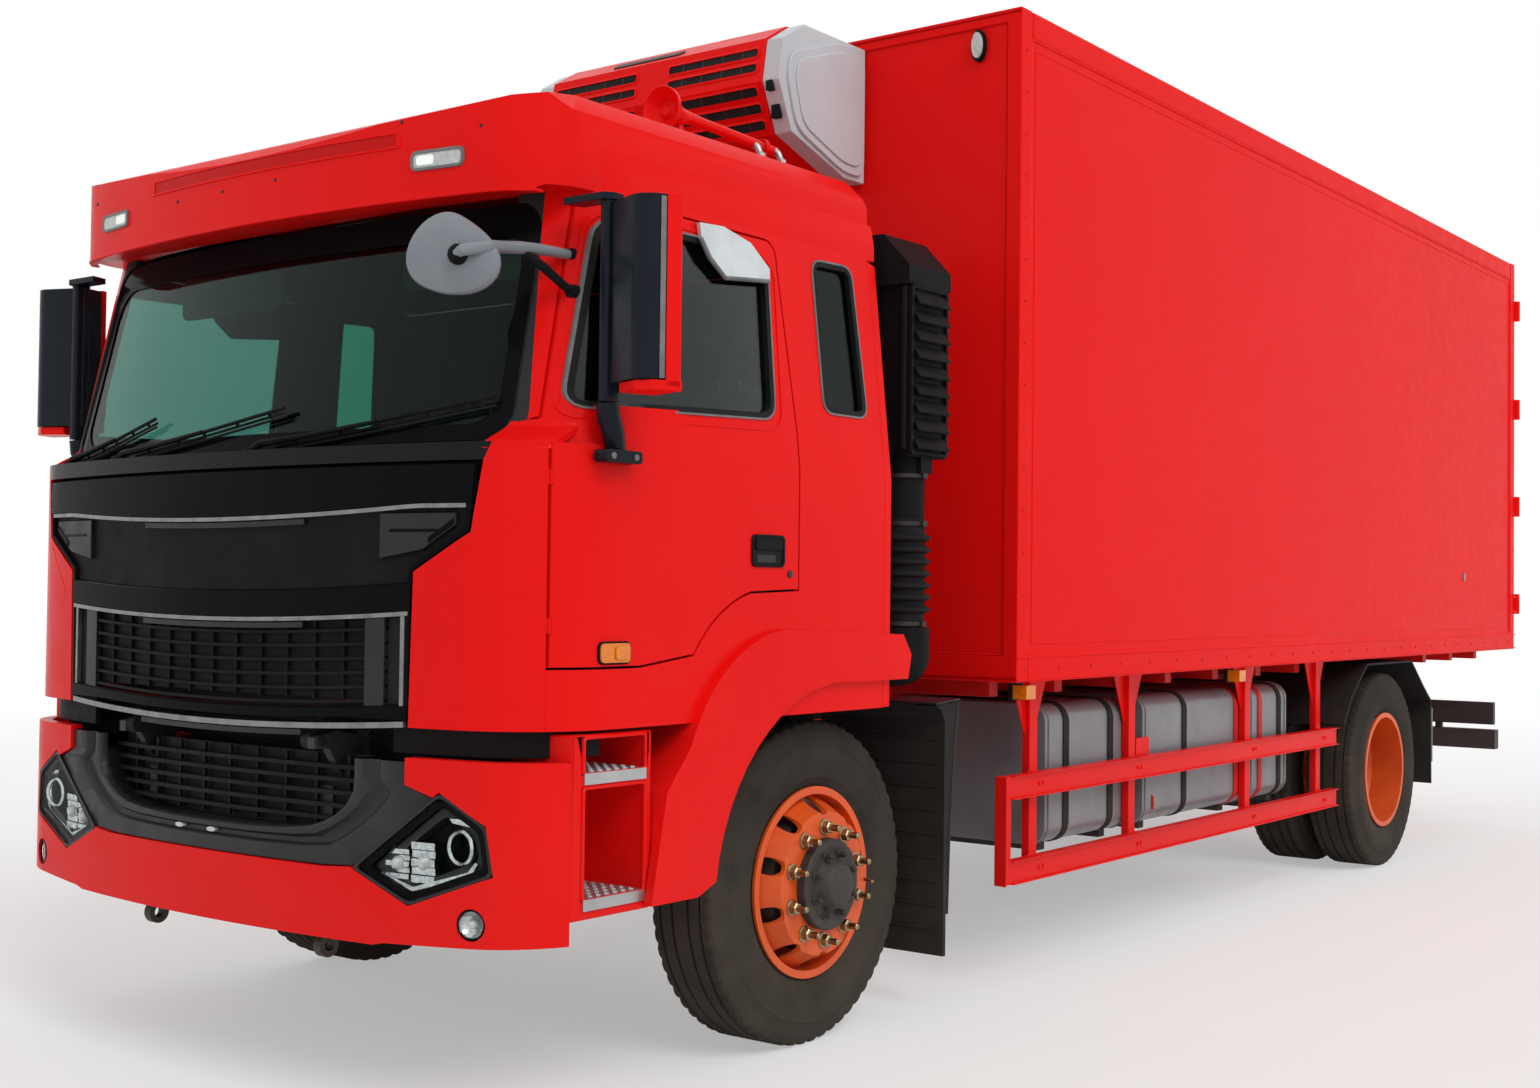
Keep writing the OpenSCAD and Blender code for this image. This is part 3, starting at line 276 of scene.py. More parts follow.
redLight, redDark = (0.83, 0.0060, 0.0050), (0.78, 0.0050, 0.0045)
liningDark = (0.028, 0.029, 0.031)
redCoat = dict(rough=0.34, roughSpan=0.05, coat=0.05, spec=0.07, tone=1.2, grain=260.0, bump=0.03)
lensLook = dict(coat=0.5, bump=0.2, grain=240.0, bumpDeep=0.002)
red = finish("redPaint", redLight, redDark, dust=0.04, dustTop=1.3, **redCoat)
redFront = finish("redPaintBlackFrame", redLight, redDark, zone="Black",
                  zoneTone=(0.010, 0.010, 0.011), zoneRough=0.22, **redCoat)
redSides = finish("redPaintLinedInside", redLight, redDark, zone="Both", zoneTone=liningDark,
                  zoneRough=0.6, **redCoat)
redLined = finish("redPaintWithLining", redLight, redDark, zone="Inside", zoneTone=liningDark,
                  zoneRough=0.65, **redCoat)
# chassis red: the cab's red painted darker as shade, with a satin gloss and road dust
shadedFrameRed = finish("frameRedPaintedShade", (0.66, 0.008, 0.007), (0.54, 0.006, 0.005), rough=0.48,
                  coat=0.04, coatRough=0.2, spec=0.14, tone=3.0, grain=220.0, bump=0.08, dust=0.14)
redBox = finish("redPanelSkin", (0.84, 0.0065, 0.0055), (0.80, 0.0055, 0.005), rough=0.46,
                roughSpan=0.05, coat=0.04, coatRough=0.1, spec=0.05, tone=0.8, grain=120.0,
                bump=0.03, bumpDeep=0.0006)
glossBlack = finish("glossBlack", (0.004, 0.004, 0.005), (0.006, 0.006, 0.007), rough=0.16,
                    roughSpan=0.04, tone=2.0, bump=0.02, spec=0.03)
plasticBlack = finish("mouldedBlack", (0.008, 0.008, 0.009), (0.013, 0.013, 0.014), rough=0.48,
                      tone=4.0, grain=900.0, bump=0.25, dust=0.03, spec=0.04)
plasticGrey = finish("mouldedGrey", (0.012, 0.012, 0.014), (0.008, 0.0085, 0.010), rough=0.42,
                     tone=4.0, grain=900.0, bump=0.2, dust=0.04)
paleGrey = finish("paleGreyShell", (0.24, 0.26, 0.285), (0.20, 0.215, 0.24), rough=0.35,
                  tone=6.0, grain=700.0, bump=0.08)
navyBlack = finish("mirrorShellBlack", (0.006, 0.009, 0.015), (0.009, 0.012, 0.019), rough=0.28,
                   tone=3.0, grain=900.0, bump=0.05, spec=0.12)
rubber = finish("blackRubber", (0.012, 0.012, 0.013), (0.022, 0.021, 0.020), rough=0.68,
                tone=5.0, grain=500.0, bump=0.3, dust=0.10, dustTop=1.2, spec=0.1)
tyreRubber = finish("tyreRubber", (0.017, 0.0155, 0.014), (0.031, 0.028, 0.025), rough=0.80,
                    tone=7.0, grain=420.0, bump=0.35, dust=0.16, dustTop=1.4, spec=0.1)
orange = finish("orangeWheelPaint", (0.82, 0.105, 0.006), (0.70, 0.080, 0.005), rough=0.42,
                coat=0.15, coatRough=0.15, tone=9.0, grain=300.0, bump=0.08, dust=0.10,
                dustTop=1.3)
steelDark = finish("darkPaintedSteel", (0.022, 0.022, 0.024), (0.038, 0.036, 0.033), rough=0.5,
                   metal=0.2, tone=6.0, grain=300.0, bump=0.2, dust=0.16)
steelBare = finish("bareSteel", (0.46, 0.46, 0.47), (0.36, 0.36, 0.37), rough=0.32, metal=1.0,
                   tone=14.0, grain=600.0, bump=0.08)
brass = finish("platedNut", (0.40, 0.32, 0.19), (0.26, 0.21, 0.12), rough=0.34, metal=1.0,
               tone=30.0, grain=900.0, bump=0.1)
satinSilver = finish("satinSilver", (0.26, 0.265, 0.265), (0.17, 0.17, 0.165), rough=0.30,
                     metal=0.8, tone=22.0, bump=0.06)
aluminium = finish("treadAluminium", (0.52, 0.53, 0.54), (0.40, 0.41, 0.42), rough=0.36,
                   metal=0.9, tone=10.0, grain=500.0, bump=0.15, dust=0.1)
tankGrey = finish("tankPaint", (0.23, 0.245, 0.26), (0.18, 0.19, 0.205), rough=0.34,
                  coat=0.15, coatRough=0.12, tone=3.0, grain=200.0, bump=0.08, dust=0.1,
                  dustTop=1.1)
engineGrey = finish("castGrey", (0.09, 0.095, 0.10), (0.06, 0.06, 0.06), rough=0.6, metal=0.2,
                    tone=9.0, grain=260.0, bump=0.5, dust=0.25)
unitWhite = finish("unitWhite", (0.56, 0.60, 0.63), (0.50, 0.54, 0.57), rough=0.38, coat=0.15,
                   tone=3.0, grain=300.0, bump=0.06)
trimDark = finish("cabTrim", (0.020, 0.021, 0.023), (0.015, 0.016, 0.018), rough=0.6, tone=6.0,
                  grain=1100.0, bump=0.3, spec=0.08)
trimPale = finish("cabLining", (0.12, 0.12, 0.118), (0.09, 0.09, 0.088), rough=0.65, tone=5.0,
                  grain=700.0, bump=0.2)
amber = finish("amberLens", (0.82, 0.24, 0.008), (0.70, 0.17, 0.006), rough=0.15, tone=60.0,
               **lensLook)
redLens = finish("redLens", (0.45, 0.006, 0.005), (0.34, 0.005, 0.004), rough=0.15, tone=60.0,
                 **lensLook)
brownLens = finish("brownLens", (0.10, 0.022, 0.008), (0.06, 0.012, 0.006), rough=0.2, tone=50.0,
                   **lensLook)
paleLens = finish("paleLens", (0.62, 0.64, 0.62), (0.44, 0.46, 0.45), rough=0.15, coat=0.5,
                  tone=60.0, bump=0.3, grain=200.0, bumpDeep=0.003)
mirrorGlass = finish("mirrorGlass", (0.66, 0.68, 0.70), (0.63, 0.65, 0.67), rough=0.03,
                     roughSpan=0.01, metal=1.0, tone=2.0, bump=0.0)
reflector = finish("lampReflector", (0.62, 0.66, 0.66), (0.36, 0.40, 0.40), rough=0.16,
                   metal=1.0, tone=70.0, bump=0.25, grain=90.0, bumpDeep=0.004)
gasket = finish("windowGasket", (0.006, 0.006, 0.007), (0.010, 0.010, 0.010), rough=0.6,
                tone=10.0, grain=600.0, bump=0.15, spec=0.15)
gasketPale = finish("windowSealGrey", (0.20, 0.20, 0.20), (0.13, 0.13, 0.13), rough=0.5,
                    tone=14.0, grain=600.0, bump=0.15)
clearGlass = glassFinish("clearLens", (0.97, 0.98, 0.98), ior=1.03)
screenGlass = glassFinish("screenGlass", (0.12, 0.37, 0.29), ior=1.2)
sideGlass = glassFinish("sideGlass", (0.34, 0.46, 0.46), ior=1.4)
print("finishes ready")


# mesh helpers
scene = bpy.context.scene


def newRing(bm, spots):
    return [bm.verts.new(spot) for spot in spots]


def stitch(bm, rings, mat=0, around=False):  # quads between neighbouring rings
    pairs = list(zip(rings, rings[1:])) + ([(rings[-1], rings[0])] if around else [])
    for low, high in pairs:
        for i in range(len(low)):
            j = (i + 1) % len(low)
            bm.faces.new((low[i], low[j], high[j], high[i])).material_index = mat


def addSlab(bm, front, back, mat=0):  # a closed plate between two matching outlines
    rings = [newRing(bm, front), newRing(bm, back)]
    for ring in rings:
        bm.faces.new(ring).material_index = mat
    stitch(bm, rings, mat)


def addFrame(bm, outer, inner, near, far, placeAt, mat=0):
    # a closed frame between two outlines with the same count of points
    rings = [newRing(bm, [placeAt(u, v, d) for u, v in line])
             for line, d in ((outer, near), (inner, near), (inner, far), (outer, far))]
    stitch(bm, rings, mat, around=True)


def addBox(bm, x0, x1, y0, y1, z0, z1, mat=0):
    spots = [(x, y, z) for x in (x0, x1) for y in (y0, y1) for z in (z0, z1)]
    v = [bm.verts.new(s) for s in spots]
    for quad in ((0, 1, 3, 2), (4, 6, 7, 5), (0, 4, 5, 1), (2, 3, 7, 6), (0, 2, 6, 4),
                 (1, 5, 7, 3)):
        bm.faces.new([v[i] for i in quad]).material_index = mat


def onAxis(axis, a, u, v):  # a along the axis, (u, v) across it
    return {"x": (a, u, v), "y": (u, a, v), "z": (u, v, a)}[axis]


def addPrism(bm, outline, axis, a0, a1, mat=0):
    addSlab(bm, [onAxis(axis, a0, u, v) for u, v in outline],
            [onAxis(axis, a1, u, v) for u, v in outline], mat)


def addLoop(bm, outer, inner, axis, a0, a1, mat=0):  # a flat frame across an axis
    addFrame(bm, outer, inner, a0, a1, lambda u, v, a: onAxis(axis, a, u, v), mat)


def onAxisAt(axis, centre, a, u, v):
    x, y, z = onAxis(axis, a, u, v)
    return (centre[0] + x, centre[1] + y, centre[2] + z)


def addLathe(bm, profile, centre, axis, steps=48, mat=0, start=0.0):
    # profile is (radius, along); a radius of 0 makes a pole
    rings = []
    for r, a in profile:
        if r < 1e-6:
            rings.append([bm.verts.new(onAxisAt(axis, centre, a, 0, 0))])
            continue
        ring = []
        for k in range(steps):
            t = start + 2 * math.pi * k / steps
            ring.append(bm.verts.new(onAxisAt(axis, centre, a, r * math.cos(t), r * math.sin(t))))
        rings.append(ring)
    for low, high in zip(rings, rings[1:]):
        for k in range(steps):
            n = (k + 1) % steps
            if len(low) == 1 and len(high) == 1:
                continue
            if len(low) == 1:
                corners = (low[0], high[k], high[n])
            elif len(high) == 1:
                corners = (low[k], low[n], high[0])
            else:
                corners = (low[k], low[n], high[n], high[k])
            bm.faces.new(corners).material_index = mat


def addTube(bm, path, radius, sides=12, mat=0, closed=False):
    # a round bar that follows a path; the ends are capped
    points = [Vector(p) for p in path]
    count = len(points)
    rings, side = [], None
    for i, p in enumerate(points):
        if closed:
            along = (points[(i + 1) % count] - points[i - 1]).normalized()
        else:
            along = (points[min(i + 1, count - 1)] - points[max(i - 1, 0)]).normalized()
        if side is None:
            side = along.cross(Vector((0.3, 0.2, 1.0))).normalized()
        side = (side - along * side.dot(along)).normalized()
        up = along.cross(side)
        r = radius[i] if isinstance(radius, (list, tuple)) else radius
        rings.append([bm.verts.new(p + r * (math.cos(t) * side + math.sin(t) * up))
                      for t in (2 * math.pi * k / sides for k in range(sides))])
    stitch(bm, rings, mat, around=closed)
    if not closed:
        bm.faces.new(rings[0]).material_index = mat
        bm.faces.new(rings[-1]).material_index = mat


def addSheet(bm, spotAt, across, down, thick, mat=0):
    # a closed sheet: spotAt(u, v, depth) gives the surface at depth 0 and its back at thick
    front = [[bm.verts.new(spotAt(u, v, 0.0)) for u in across] for v in down]
    back = [[bm.verts.new(spotAt(u, v, thick)) for u in across] for v in down]
    rows, cols = len(down), len(across)
    for i in range(rows - 1):
        for j in range(cols - 1):
            bm.faces.new((front[i][j], front[i][j + 1], front[i + 1][j + 1],
                          front[i + 1][j])).material_index = mat
            bm.faces.new((back[i][j], back[i + 1][j], back[i + 1][j + 1],
                          back[i][j + 1])).material_index = mat
    rim = [(i, 0) for i in range(rows)] + [(rows - 1, j) for j in range(1, cols)]
    rim += [(i, cols - 1) for i in range(rows - 2, -1, -1)]
    rim += [(0, j) for j in range(cols - 2, 0, -1)]
    for (i, j), (k, n) in zip(rim, rim[1:] + rim[:1]):
        bm.faces.new((front[i][j], front[k][n], back[k][n], back[i][j])).material_index = mat


def addMirror(bm):  # the same again on the other side of x = 0
    extra = bmesh.ops.duplicate(bm, geom=bm.verts[:] + bm.edges[:] + bm.faces[:])["geom"]
    for v in (g for g in extra if isinstance(g, bmesh.types.BMVert)):
        v.co.x = -v.co.x


def turnAll(bm, matrix, verts=None):
    bmesh.ops.transform(bm, matrix=matrix, verts=verts or bm.verts[:])


sideNames = {1: "left", -1: "right"}


def toSide(bm, side):  # a piece is drawn on the left and turned over for the right
    if side < 0:
        turnAll(bm, Matrix.Scale(-1, 4, (1, 0, 0)))


def spread(low, high, count):
    return [low + (high - low) * i / (count - 1) for i in range(count)]


def oval(u, v, wide, high, count):
    return [(u + wide * math.cos(a), v + high * math.sin(a))
            for a in spread(0, 2 * math.pi, count + 1)[:-1]]


def roundRect(u0, u1, v0, v1, r, n=5):
    corners = ((u1 - r, v1 - r, 0), (u0 + r, v1 - r, 90), (u0 + r, v0 + r, 180),
               (u1 - r, v0 + r, 270))
    return [(cu + r * math.cos(math.radians(a + 90 * i / n)),
             cv + r * math.sin(math.radians(a + 90 * i / n)))
            for cu, cv, a in corners for i in range(n + 1)]


def roundCorners(points, r, n=4):
    # an outline with each corner turned into a short arc
    out = []
    for i, p in enumerate(points):
        p, a, b = Vector(p), Vector(points[i - 1]), Vector(points[(i + 1) % len(points)])
        back, ahead = (a - p), (b - p)
        cut = min(r, 0.45 * back.length, 0.45 * ahead.length)
        s, e = p + back.normalized() * cut, p + ahead.normalized() * cut
        for k in range(n + 1):
            t = k / n
            out.append(tuple((1 - t) ** 2 * s + 2 * t * (1 - t) * p + t * t * e))
    return out


def piece(name, bm, body, finishes, bevel=0.0, angle=32, segments=2, rounding=0):
    if not isinstance(finishes, (list, tuple)):
        finishes = [finishes]
    bmesh.ops.recalc_face_normals(bm, faces=bm.faces)
    mesh = bpy.data.meshes.new(name)
    bm.to_mesh(mesh)
    bm.free()
    obj = bpy.data.objects.new(name, mesh)
    scene.collection.objects.link(obj)
    for mat in finishes:
        mesh.materials.append(mat)
    mesh.shade_smooth()
    mesh.set_sharp_from_angle(angle=math.radians(angle))
    if bevel:
        addBevel(obj, bevel, segments, angle)
    if rounding:
        obj.modifiers.new("rounding", "SUBSURF").levels = rounding
        obj.modifiers["rounding"].render_levels = rounding
    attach(obj, body)
    return obj


def addBevel(obj, width, segments=2, angle=32):
    mod = obj.modifiers.new("edge", "BEVEL")
    mod.width = width
    mod.segments = segments
    mod.limit_method = "ANGLE"
    mod.angle_limit = math.radians(angle)
    mod.harden_normals = True


# CAD nodes keep their mesh: weld, bevel and smoothing are modifiers, and the paint is new
def makeSmoothTree():
    tree = bpy.data.node_groups.new("smoothByAngle", "GeometryNodeTree")
    tree.interface.new_socket("Geometry", in_out="INPUT", socket_type="NodeSocketGeometry")
    tree.interface.new_socket("Geometry", in_out="OUTPUT", socket_type="NodeSocketGeometry")
    gin, gout = tree.nodes.new("NodeGroupInput"), tree.nodes.new("NodeGroupOutput")
    angle = tree.nodes.new("GeometryNodeInputMeshEdgeAngle")
    limit = tree.nodes.new("FunctionNodeCompare")
    limit.data_type, limit.operation = "FLOAT", "LESS_EQUAL"
    limit.inputs[1].default_value = math.radians(28)
    faces = tree.nodes.new("GeometryNodeSetShadeSmooth")
    edges = tree.nodes.new("GeometryNodeSetShadeSmooth")
    faces.domain, edges.domain = "FACE", "EDGE"
    tree.links.new(gin.outputs[0], faces.inputs["Geometry"])
    tree.links.new(faces.outputs[0], edges.inputs["Geometry"])
    tree.links.new(angle.outputs["Unsigned Angle"], limit.inputs[0])
    tree.links.new(limit.outputs["Result"], edges.inputs["Shade Smooth"])
    tree.links.new(edges.outputs[0], gout.inputs[0])
    return tree


smoothTree = makeSmoothTree()


def dress(name, mat, bevel):
    obj = nodes[name]
    weld = obj.modifiers.new("weld", "WELD")
    weld.merge_threshold = 0.00002
    obj.modifiers.new("smooth", "NODES").node_group = smoothTree
    if bevel:
        addBevel(obj, bevel, angle=28)
    obj.data.materials[0] = mat


# finish and edge radius of each CAD node, with one row for a left and right pair
cadLook = {
    "frame_rails": (shadedFrameRed, 0.003), "cross_members": (steelDark, 0.002),
    "front_bumper": (red, 0.004), "bumper_surround": (plasticGrey, 0.003),
    "front_axle": (steelDark, 0.004), "rear_axle": (steelDark, 0.004),
    "leaf_springs": (steelDark, 0.002), "driveshaft": (steelDark, 0.002),
    "engine_block": (engineGrey, 0.02), "chassis_tanks": (tankGrey, 0.004),
    "side_guards": (red, 0.004), "mudguards": (rubber, 0.003),
    "step_boxes": (red, 0.006), "air_intake": (plasticBlack, 0.006),
    "rear_bumper": (steelDark, 0.004), "box_subframe": (shadedFrameRed, 0.003),
    "box_floor": (redBox, 0.003), "box_sides": (redBox, 0.003), "box_roof": (redBox, 0.012),
    "box_front_wall": (redBox, 0.006), "box_rear_frame": (redBox, 0.004),
    "cooling_unit": (unitWhite, 0.02), "cooling_cover": (red, 0.012),
    "cab_floor": (trimDark, 0.004), "cab_back_wall": (redLined, 0.006),
    "cab_roof": (redLined, 0.028), "cab_sides": (redSides, 0.004),
    "cab_front": (redFront, 0.004), "cab_glass": (screenGlass, 0.0),
    "dashboard": (trimDark, 0.02), "cab_fenders": (red, 0.018),
    "kerb_mirror": (paleGrey, 0.012), "roof_horn": (red, 0.004),
    "grille_panel": (glossBlack, 0.003), "steering_wheel": (trimDark, 0.003),
    "tie_rod": (steelDark, 0.002), "front_lamps": (clearGlass, 0.004), "seats": (trimDark, 0.02)}
pairLook = {
    "door_": (redLined, 0.004), "door_glass_": (sideGlass, 0.0), "mirror_": (plasticBlack, 0.01),
    "knuckle_": (steelDark, 0.003), "tyre_front_": (tyreRubber, 0.0),
    "tyres_rear_": (tyreRubber, 0.0), "rim_front_": (orange, 0.002),
    "rims_rear_": (orange, 0.002), "cargo_door_": (redBox, 0.003)}
for pairName, look in pairLook.items():
    for sideName in sideNames.values():
        cadLook[pairName + sideName] = look
for nodeName, (mat, edge) in cadLook.items():
    dress(nodeName, mat, edge)
print("CAD nodes dressed:", len(cadLook))


# places read off the frame
def middle(name, axis):
    low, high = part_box(name)
    return (low[axis] + high[axis]) / 2


axle, rearAxle = middle("tyre_front_left", 1), middle("tyres_rear_left", 1)
axleZ = middle("tyre_front_left", 2)


def fromAxle(x, y, z):  # many places count y from the front axle
    return Vector((x, axle + y, z))


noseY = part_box("front_bumper")[0][1]
cab = {"half": 1.21, "corner": 0.33, "bumperHalf": 1.235, "bumperCorner": 0.30, "curve": 5.0,
       "rake": math.radians(13.5), "screenZ": 1.85, "screenBack": 0.10, "visorBack": 0.11,
       "visorHalf": 1.10, "visorCorner": 0.23, "lidHigh": 1.745, "lidLow": 1.045}


def bow(x, depth, half, corner):  # how far the rounded nose falls back at x
    big, side = cab["curve"], half - corner
    mid = big - math.sqrt((big - corner) ** 2 - side ** 2)
    if abs(x) <= side * (big - depth) / (big - corner):
        return big - math.sqrt((big - depth) ** 2 - x * x)
    return mid - math.sqrt(max((corner - depth) ** 2 - (abs(x) - side) ** 2, 0.0))


# each surface gives y at (x, z) and a depth behind it, so that bands and pads can use any of them
def faceY(x, z, depth=0.0):
    return noseY + bow(x, depth, cab["half"], cab["corner"])


def bumperY(x, z, depth=0.0):
    return noseY + bow(x, depth, cab["bumperHalf"], cab["bumperCorner"])


def screenY(x, z, depth=0.0):
    back = bow(x, depth, cab["half"] + 0.003, cab["corner"]) - depth
    return (noseY + cab["screenBack"] + depth + back / math.cos(cab["rake"])
            + (z - cab["screenZ"]) * math.tan(cab["rake"]))


def visorY(x, z, depth=0.0):
    return noseY + cab["visorBack"] + bow(x, depth, cab["visorHalf"], cab["visorCorner"])


def heightAt(value, x):
    return value(x) if callable(value) else value


def addBand(bm, xs, top, low, depth, thick, surface=faceY, mat=0, rows=2):
    # a closed strip laid on a curved face, between the heights top and low
    def spotAt(x, t, d):
        z = heightAt(top, x) * (1 - t) + heightAt(low, x) * t
        return (x, surface(x, z, depth + d), z)
    addSheet(bm, spotAt, xs, spread(0, 1, rows), thick, mat)


def addPad(bm, outline, depth, thick, surface=faceY, mat=0):
    # a small plate of any outline in (x, z) on a curved face
    front, back = ([(x, surface(x, z, d), z) for x, z in outline] for d in (depth, depth + thick))
    addSlab(bm, front, back, mat)


def addRing(bm, outer, inner, near, far, surface, mat):  # a frame on a curved face
    addFrame(bm, outer, inner, near, far, lambda x, z, d: (x, surface(x, z, d), z), mat)


def halfAt(z, table):
    for (z0, h0), (z1, h1) in zip(table, table[1:]):
        if z <= z1:
            return h0 + (h1 - h0) * (z - z0) / (z1 - z0)
    return table[-1][1]


# the black centre of the front, which lifts with the lid
blackFace = {"side": ((1.0, 0.784), (1.462, 0.794), (1.568, 0.974), (1.75, 0.991)),
             "hoodLow": 1.637, "badgeLow": 1.430, "barLow": 1.352, "openLow": 1.108,
             "stripLow": 1.060, "sag": 0.028, "back": 0.034, "openHalf": 0.70,
             "slats": 6, "slatHigh": 0.009, "uprights": 13, "uprightHalf": 0.004}


def sag(x):
    return blackFace["sag"] * (1 - min(1.0, abs(x) / 0.8) ** 2)


def buildBlackFace():
    f = blackFace
    columns = spread(-1, 1, 49)

    def zone(bm, rows, mat):
        def spotAt(u, row, d):
            z, depth = row
            x = u * (halfAt(z, f["side"]) - 0.001)
            drop = sag(x) if cab["lidLow"] + 0.02 < z < cab["lidHigh"] - 0.02 else 0.0
            return (x, faceY(x, z, max(depth, d)), z - drop)
        addSheet(bm, spotAt, columns, rows, f["back"], mat)

    bm = bmesh.new()
    hood, badge, bar, low = f["hoodLow"], f["badgeLow"], f["barLow"], f["openLow"]
    zone(bm, [(cab["lidHigh"], 0.006), (cab["lidHigh"] - 0.004, 0.0012), (1.70, 0.0), (1.66, 0.0),
              (hood + 0.004, 0.0006), (hood, 0.006)], 0)
    zone(bm, [(badge, 0.005), (badge - 0.004, 0.0006), (bar + 0.03, 0.0), (bar + 0.004, 0.0006),
              (bar, 0.006)], 0)
    zone(bm, [(low, 0.010), (low - 0.006, 0.002), (low - 0.03, 0.0006),
              (f["stripLow"] + 0.004, 0.001), (f["stripLow"], 0.006)], 0)
    zone(bm, [(hood - 0.001, 0.014), (hood - 0.006, 0.017), (1.568, 0.018), (1.48, 0.018),
              (badge + 0.001, 0.014)], 1)
    for side in (-1, 1):  # the rim that follows the outer edge
        rim = [(side * (halfAt(z, f["side"]) - 0.008), z)
               for z in [1.735, 1.66, 1.585, 1.568, 1.55, 1.50, 1.462, 1.44, 1.30, 1.15, 1.06]]
        addTube(bm, [(x, faceY(x, z, 0.0075), z - 0.5 * sag(x)) for x, z in rim], 0.007, 8, 0)
    panels = piece("front_lid_panels", bm, "front_lid", [glossBlack, plasticBlack],
                   0.0015)
    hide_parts("grille_panel")

    bm = bmesh.new()  # the deep opening with its slats
    half = f["openHalf"]
    xs = spread(-half, half, 33)
    addBand(bm, xs, bar - 0.004, low + 0.002, 0.030, 0.004, rows=8)
    for z in spread(bar - 0.035, low + 0.015, f["slats"]):
        addBand(bm, xs, lambda x, z=z: z - sag(x), lambda x, z=z: z - f["slatHigh"] - sag(x),
                0.012, 0.016)
    for x in spread(-half + 0.05, half - 0.05, f["uprights"]):
        wide = f["uprightHalf"]
        addBand(bm, [x - wide, x, x + wide], bar - 0.01, low, 0.019, 0.010)
    for side in (-1, 1):  # end walls, each with a pale post
        a, b = sorted((side * half, side * 0.782))
        addBand(bm, spread(a, b, 5), bar, low - 0.01, 0.022, 0.010, mat=1)
        a, b = sorted((side * 0.632, side * 0.700))
        addBand(bm, spread(a, b, 4), lambda x: bar - 0.004 - sag(x),
                lambda x: low - 0.012 - sag(x) + 0.12 * (0.7 - abs(x)), 0.008, 0.02, mat=2)
        a, b = sorted((side * 0.757, side * 0.771))
        addBand(bm, [a, b], bar - 0.01, low - 0.03, 0.004, 0.016, mat=3)
    piece("grille_slats", bm, "front_lid", [plasticBlack, trimDark, plasticGrey, satinSilver],
          0.0012)

    bm = bmesh.new()  # bright strips, each with a short lip under its middle
    for top, deep, half in ((hood, 0.010, 0.965), (bar, 0.010, 0.785),
                            (f["stripLow"], 0.014, 0.775)):
        strip = spread(-half, half, 41)
        addBand(bm, strip, lambda x: top + 0.002 - sag(x), lambda x: top - deep - sag(x),
                0.0008, 0.012, rows=3)
        lip = spread(-0.34, 0.40, 21)
        addBand(bm, lip, lambda x: top - deep - 0.003 - sag(x),
                lambda x: top - deep - 0.019 - sag(x), 0.006, 0.010, mat=1)
    piece("grille_bright_strips", bm, "front_lid", [satinSilver, plasticGrey],
          0.001)

    def wedgeLow(x):
        return 1.492 + 0.025 * (x - 0.669) / 0.155 if x < 0.824 else 1.517 + (x - 0.824) * 0.62
    bm = bmesh.new()  # grey wedges with a dark slot, on both sides
    addBand(bm, spread(0.680, 0.930, 13), 1.614, wedgeLow, 0.006, 0.014)
    addBand(bm, spread(0.714, 0.888, 9), 1.572, 1.564, 0.004, 0.010, mat=1)
    addBand(bm, spread(0.845, 0.925, 5), lambda x: wedgeLow(x) + 0.020,
            lambda x: wedgeLow(x) + 0.004, 0.003, 0.010, mat=1)
    addMirror(bm)
    piece("front_lid_wedges", bm, "front_lid", [plasticGrey, glossBlack], 0.0015)


buildBlackFace()


# the lower mouth in the bumper, as matched points of its inner and outer edge
mouth = {"edges": ((0.590, 0.953, 0.783, 0.953), (0.590, 0.900, 0.783, 0.893),
                   (0.584, 0.862, 0.868, 0.862), (0.560, 0.825, 0.800, 0.806),
                   (0.525, 0.798, 0.735, 0.757), (0.480, 0.776, 0.670, 0.709),
                   (0.425, 0.760, 0.600, 0.662), (0.330, 0.749, 0.500, 0.6565),
                   (0.170, 0.743, 0.250, 0.6555), (0.0, 0.742, 0.0, 0.6555)),
         "profile": ((0.0, 0.105), (0.0, 0.030), (0.03, 0.016), (0.07, 0.012), (0.20, 0.012),
                     (0.25, 0.024), (0.30, 0.028), (0.44, 0.028), (0.49, 0.016), (0.54, 0.011),
                     (0.97, 0.009), (1.0, 0.012), (1.0, 0.040)),
         "slats": 5, "slatTop": 0.925, "pitch": 0.036, "lampZ": 0.714, "eyeX": 0.43,
         "eyeZ": 0.415}


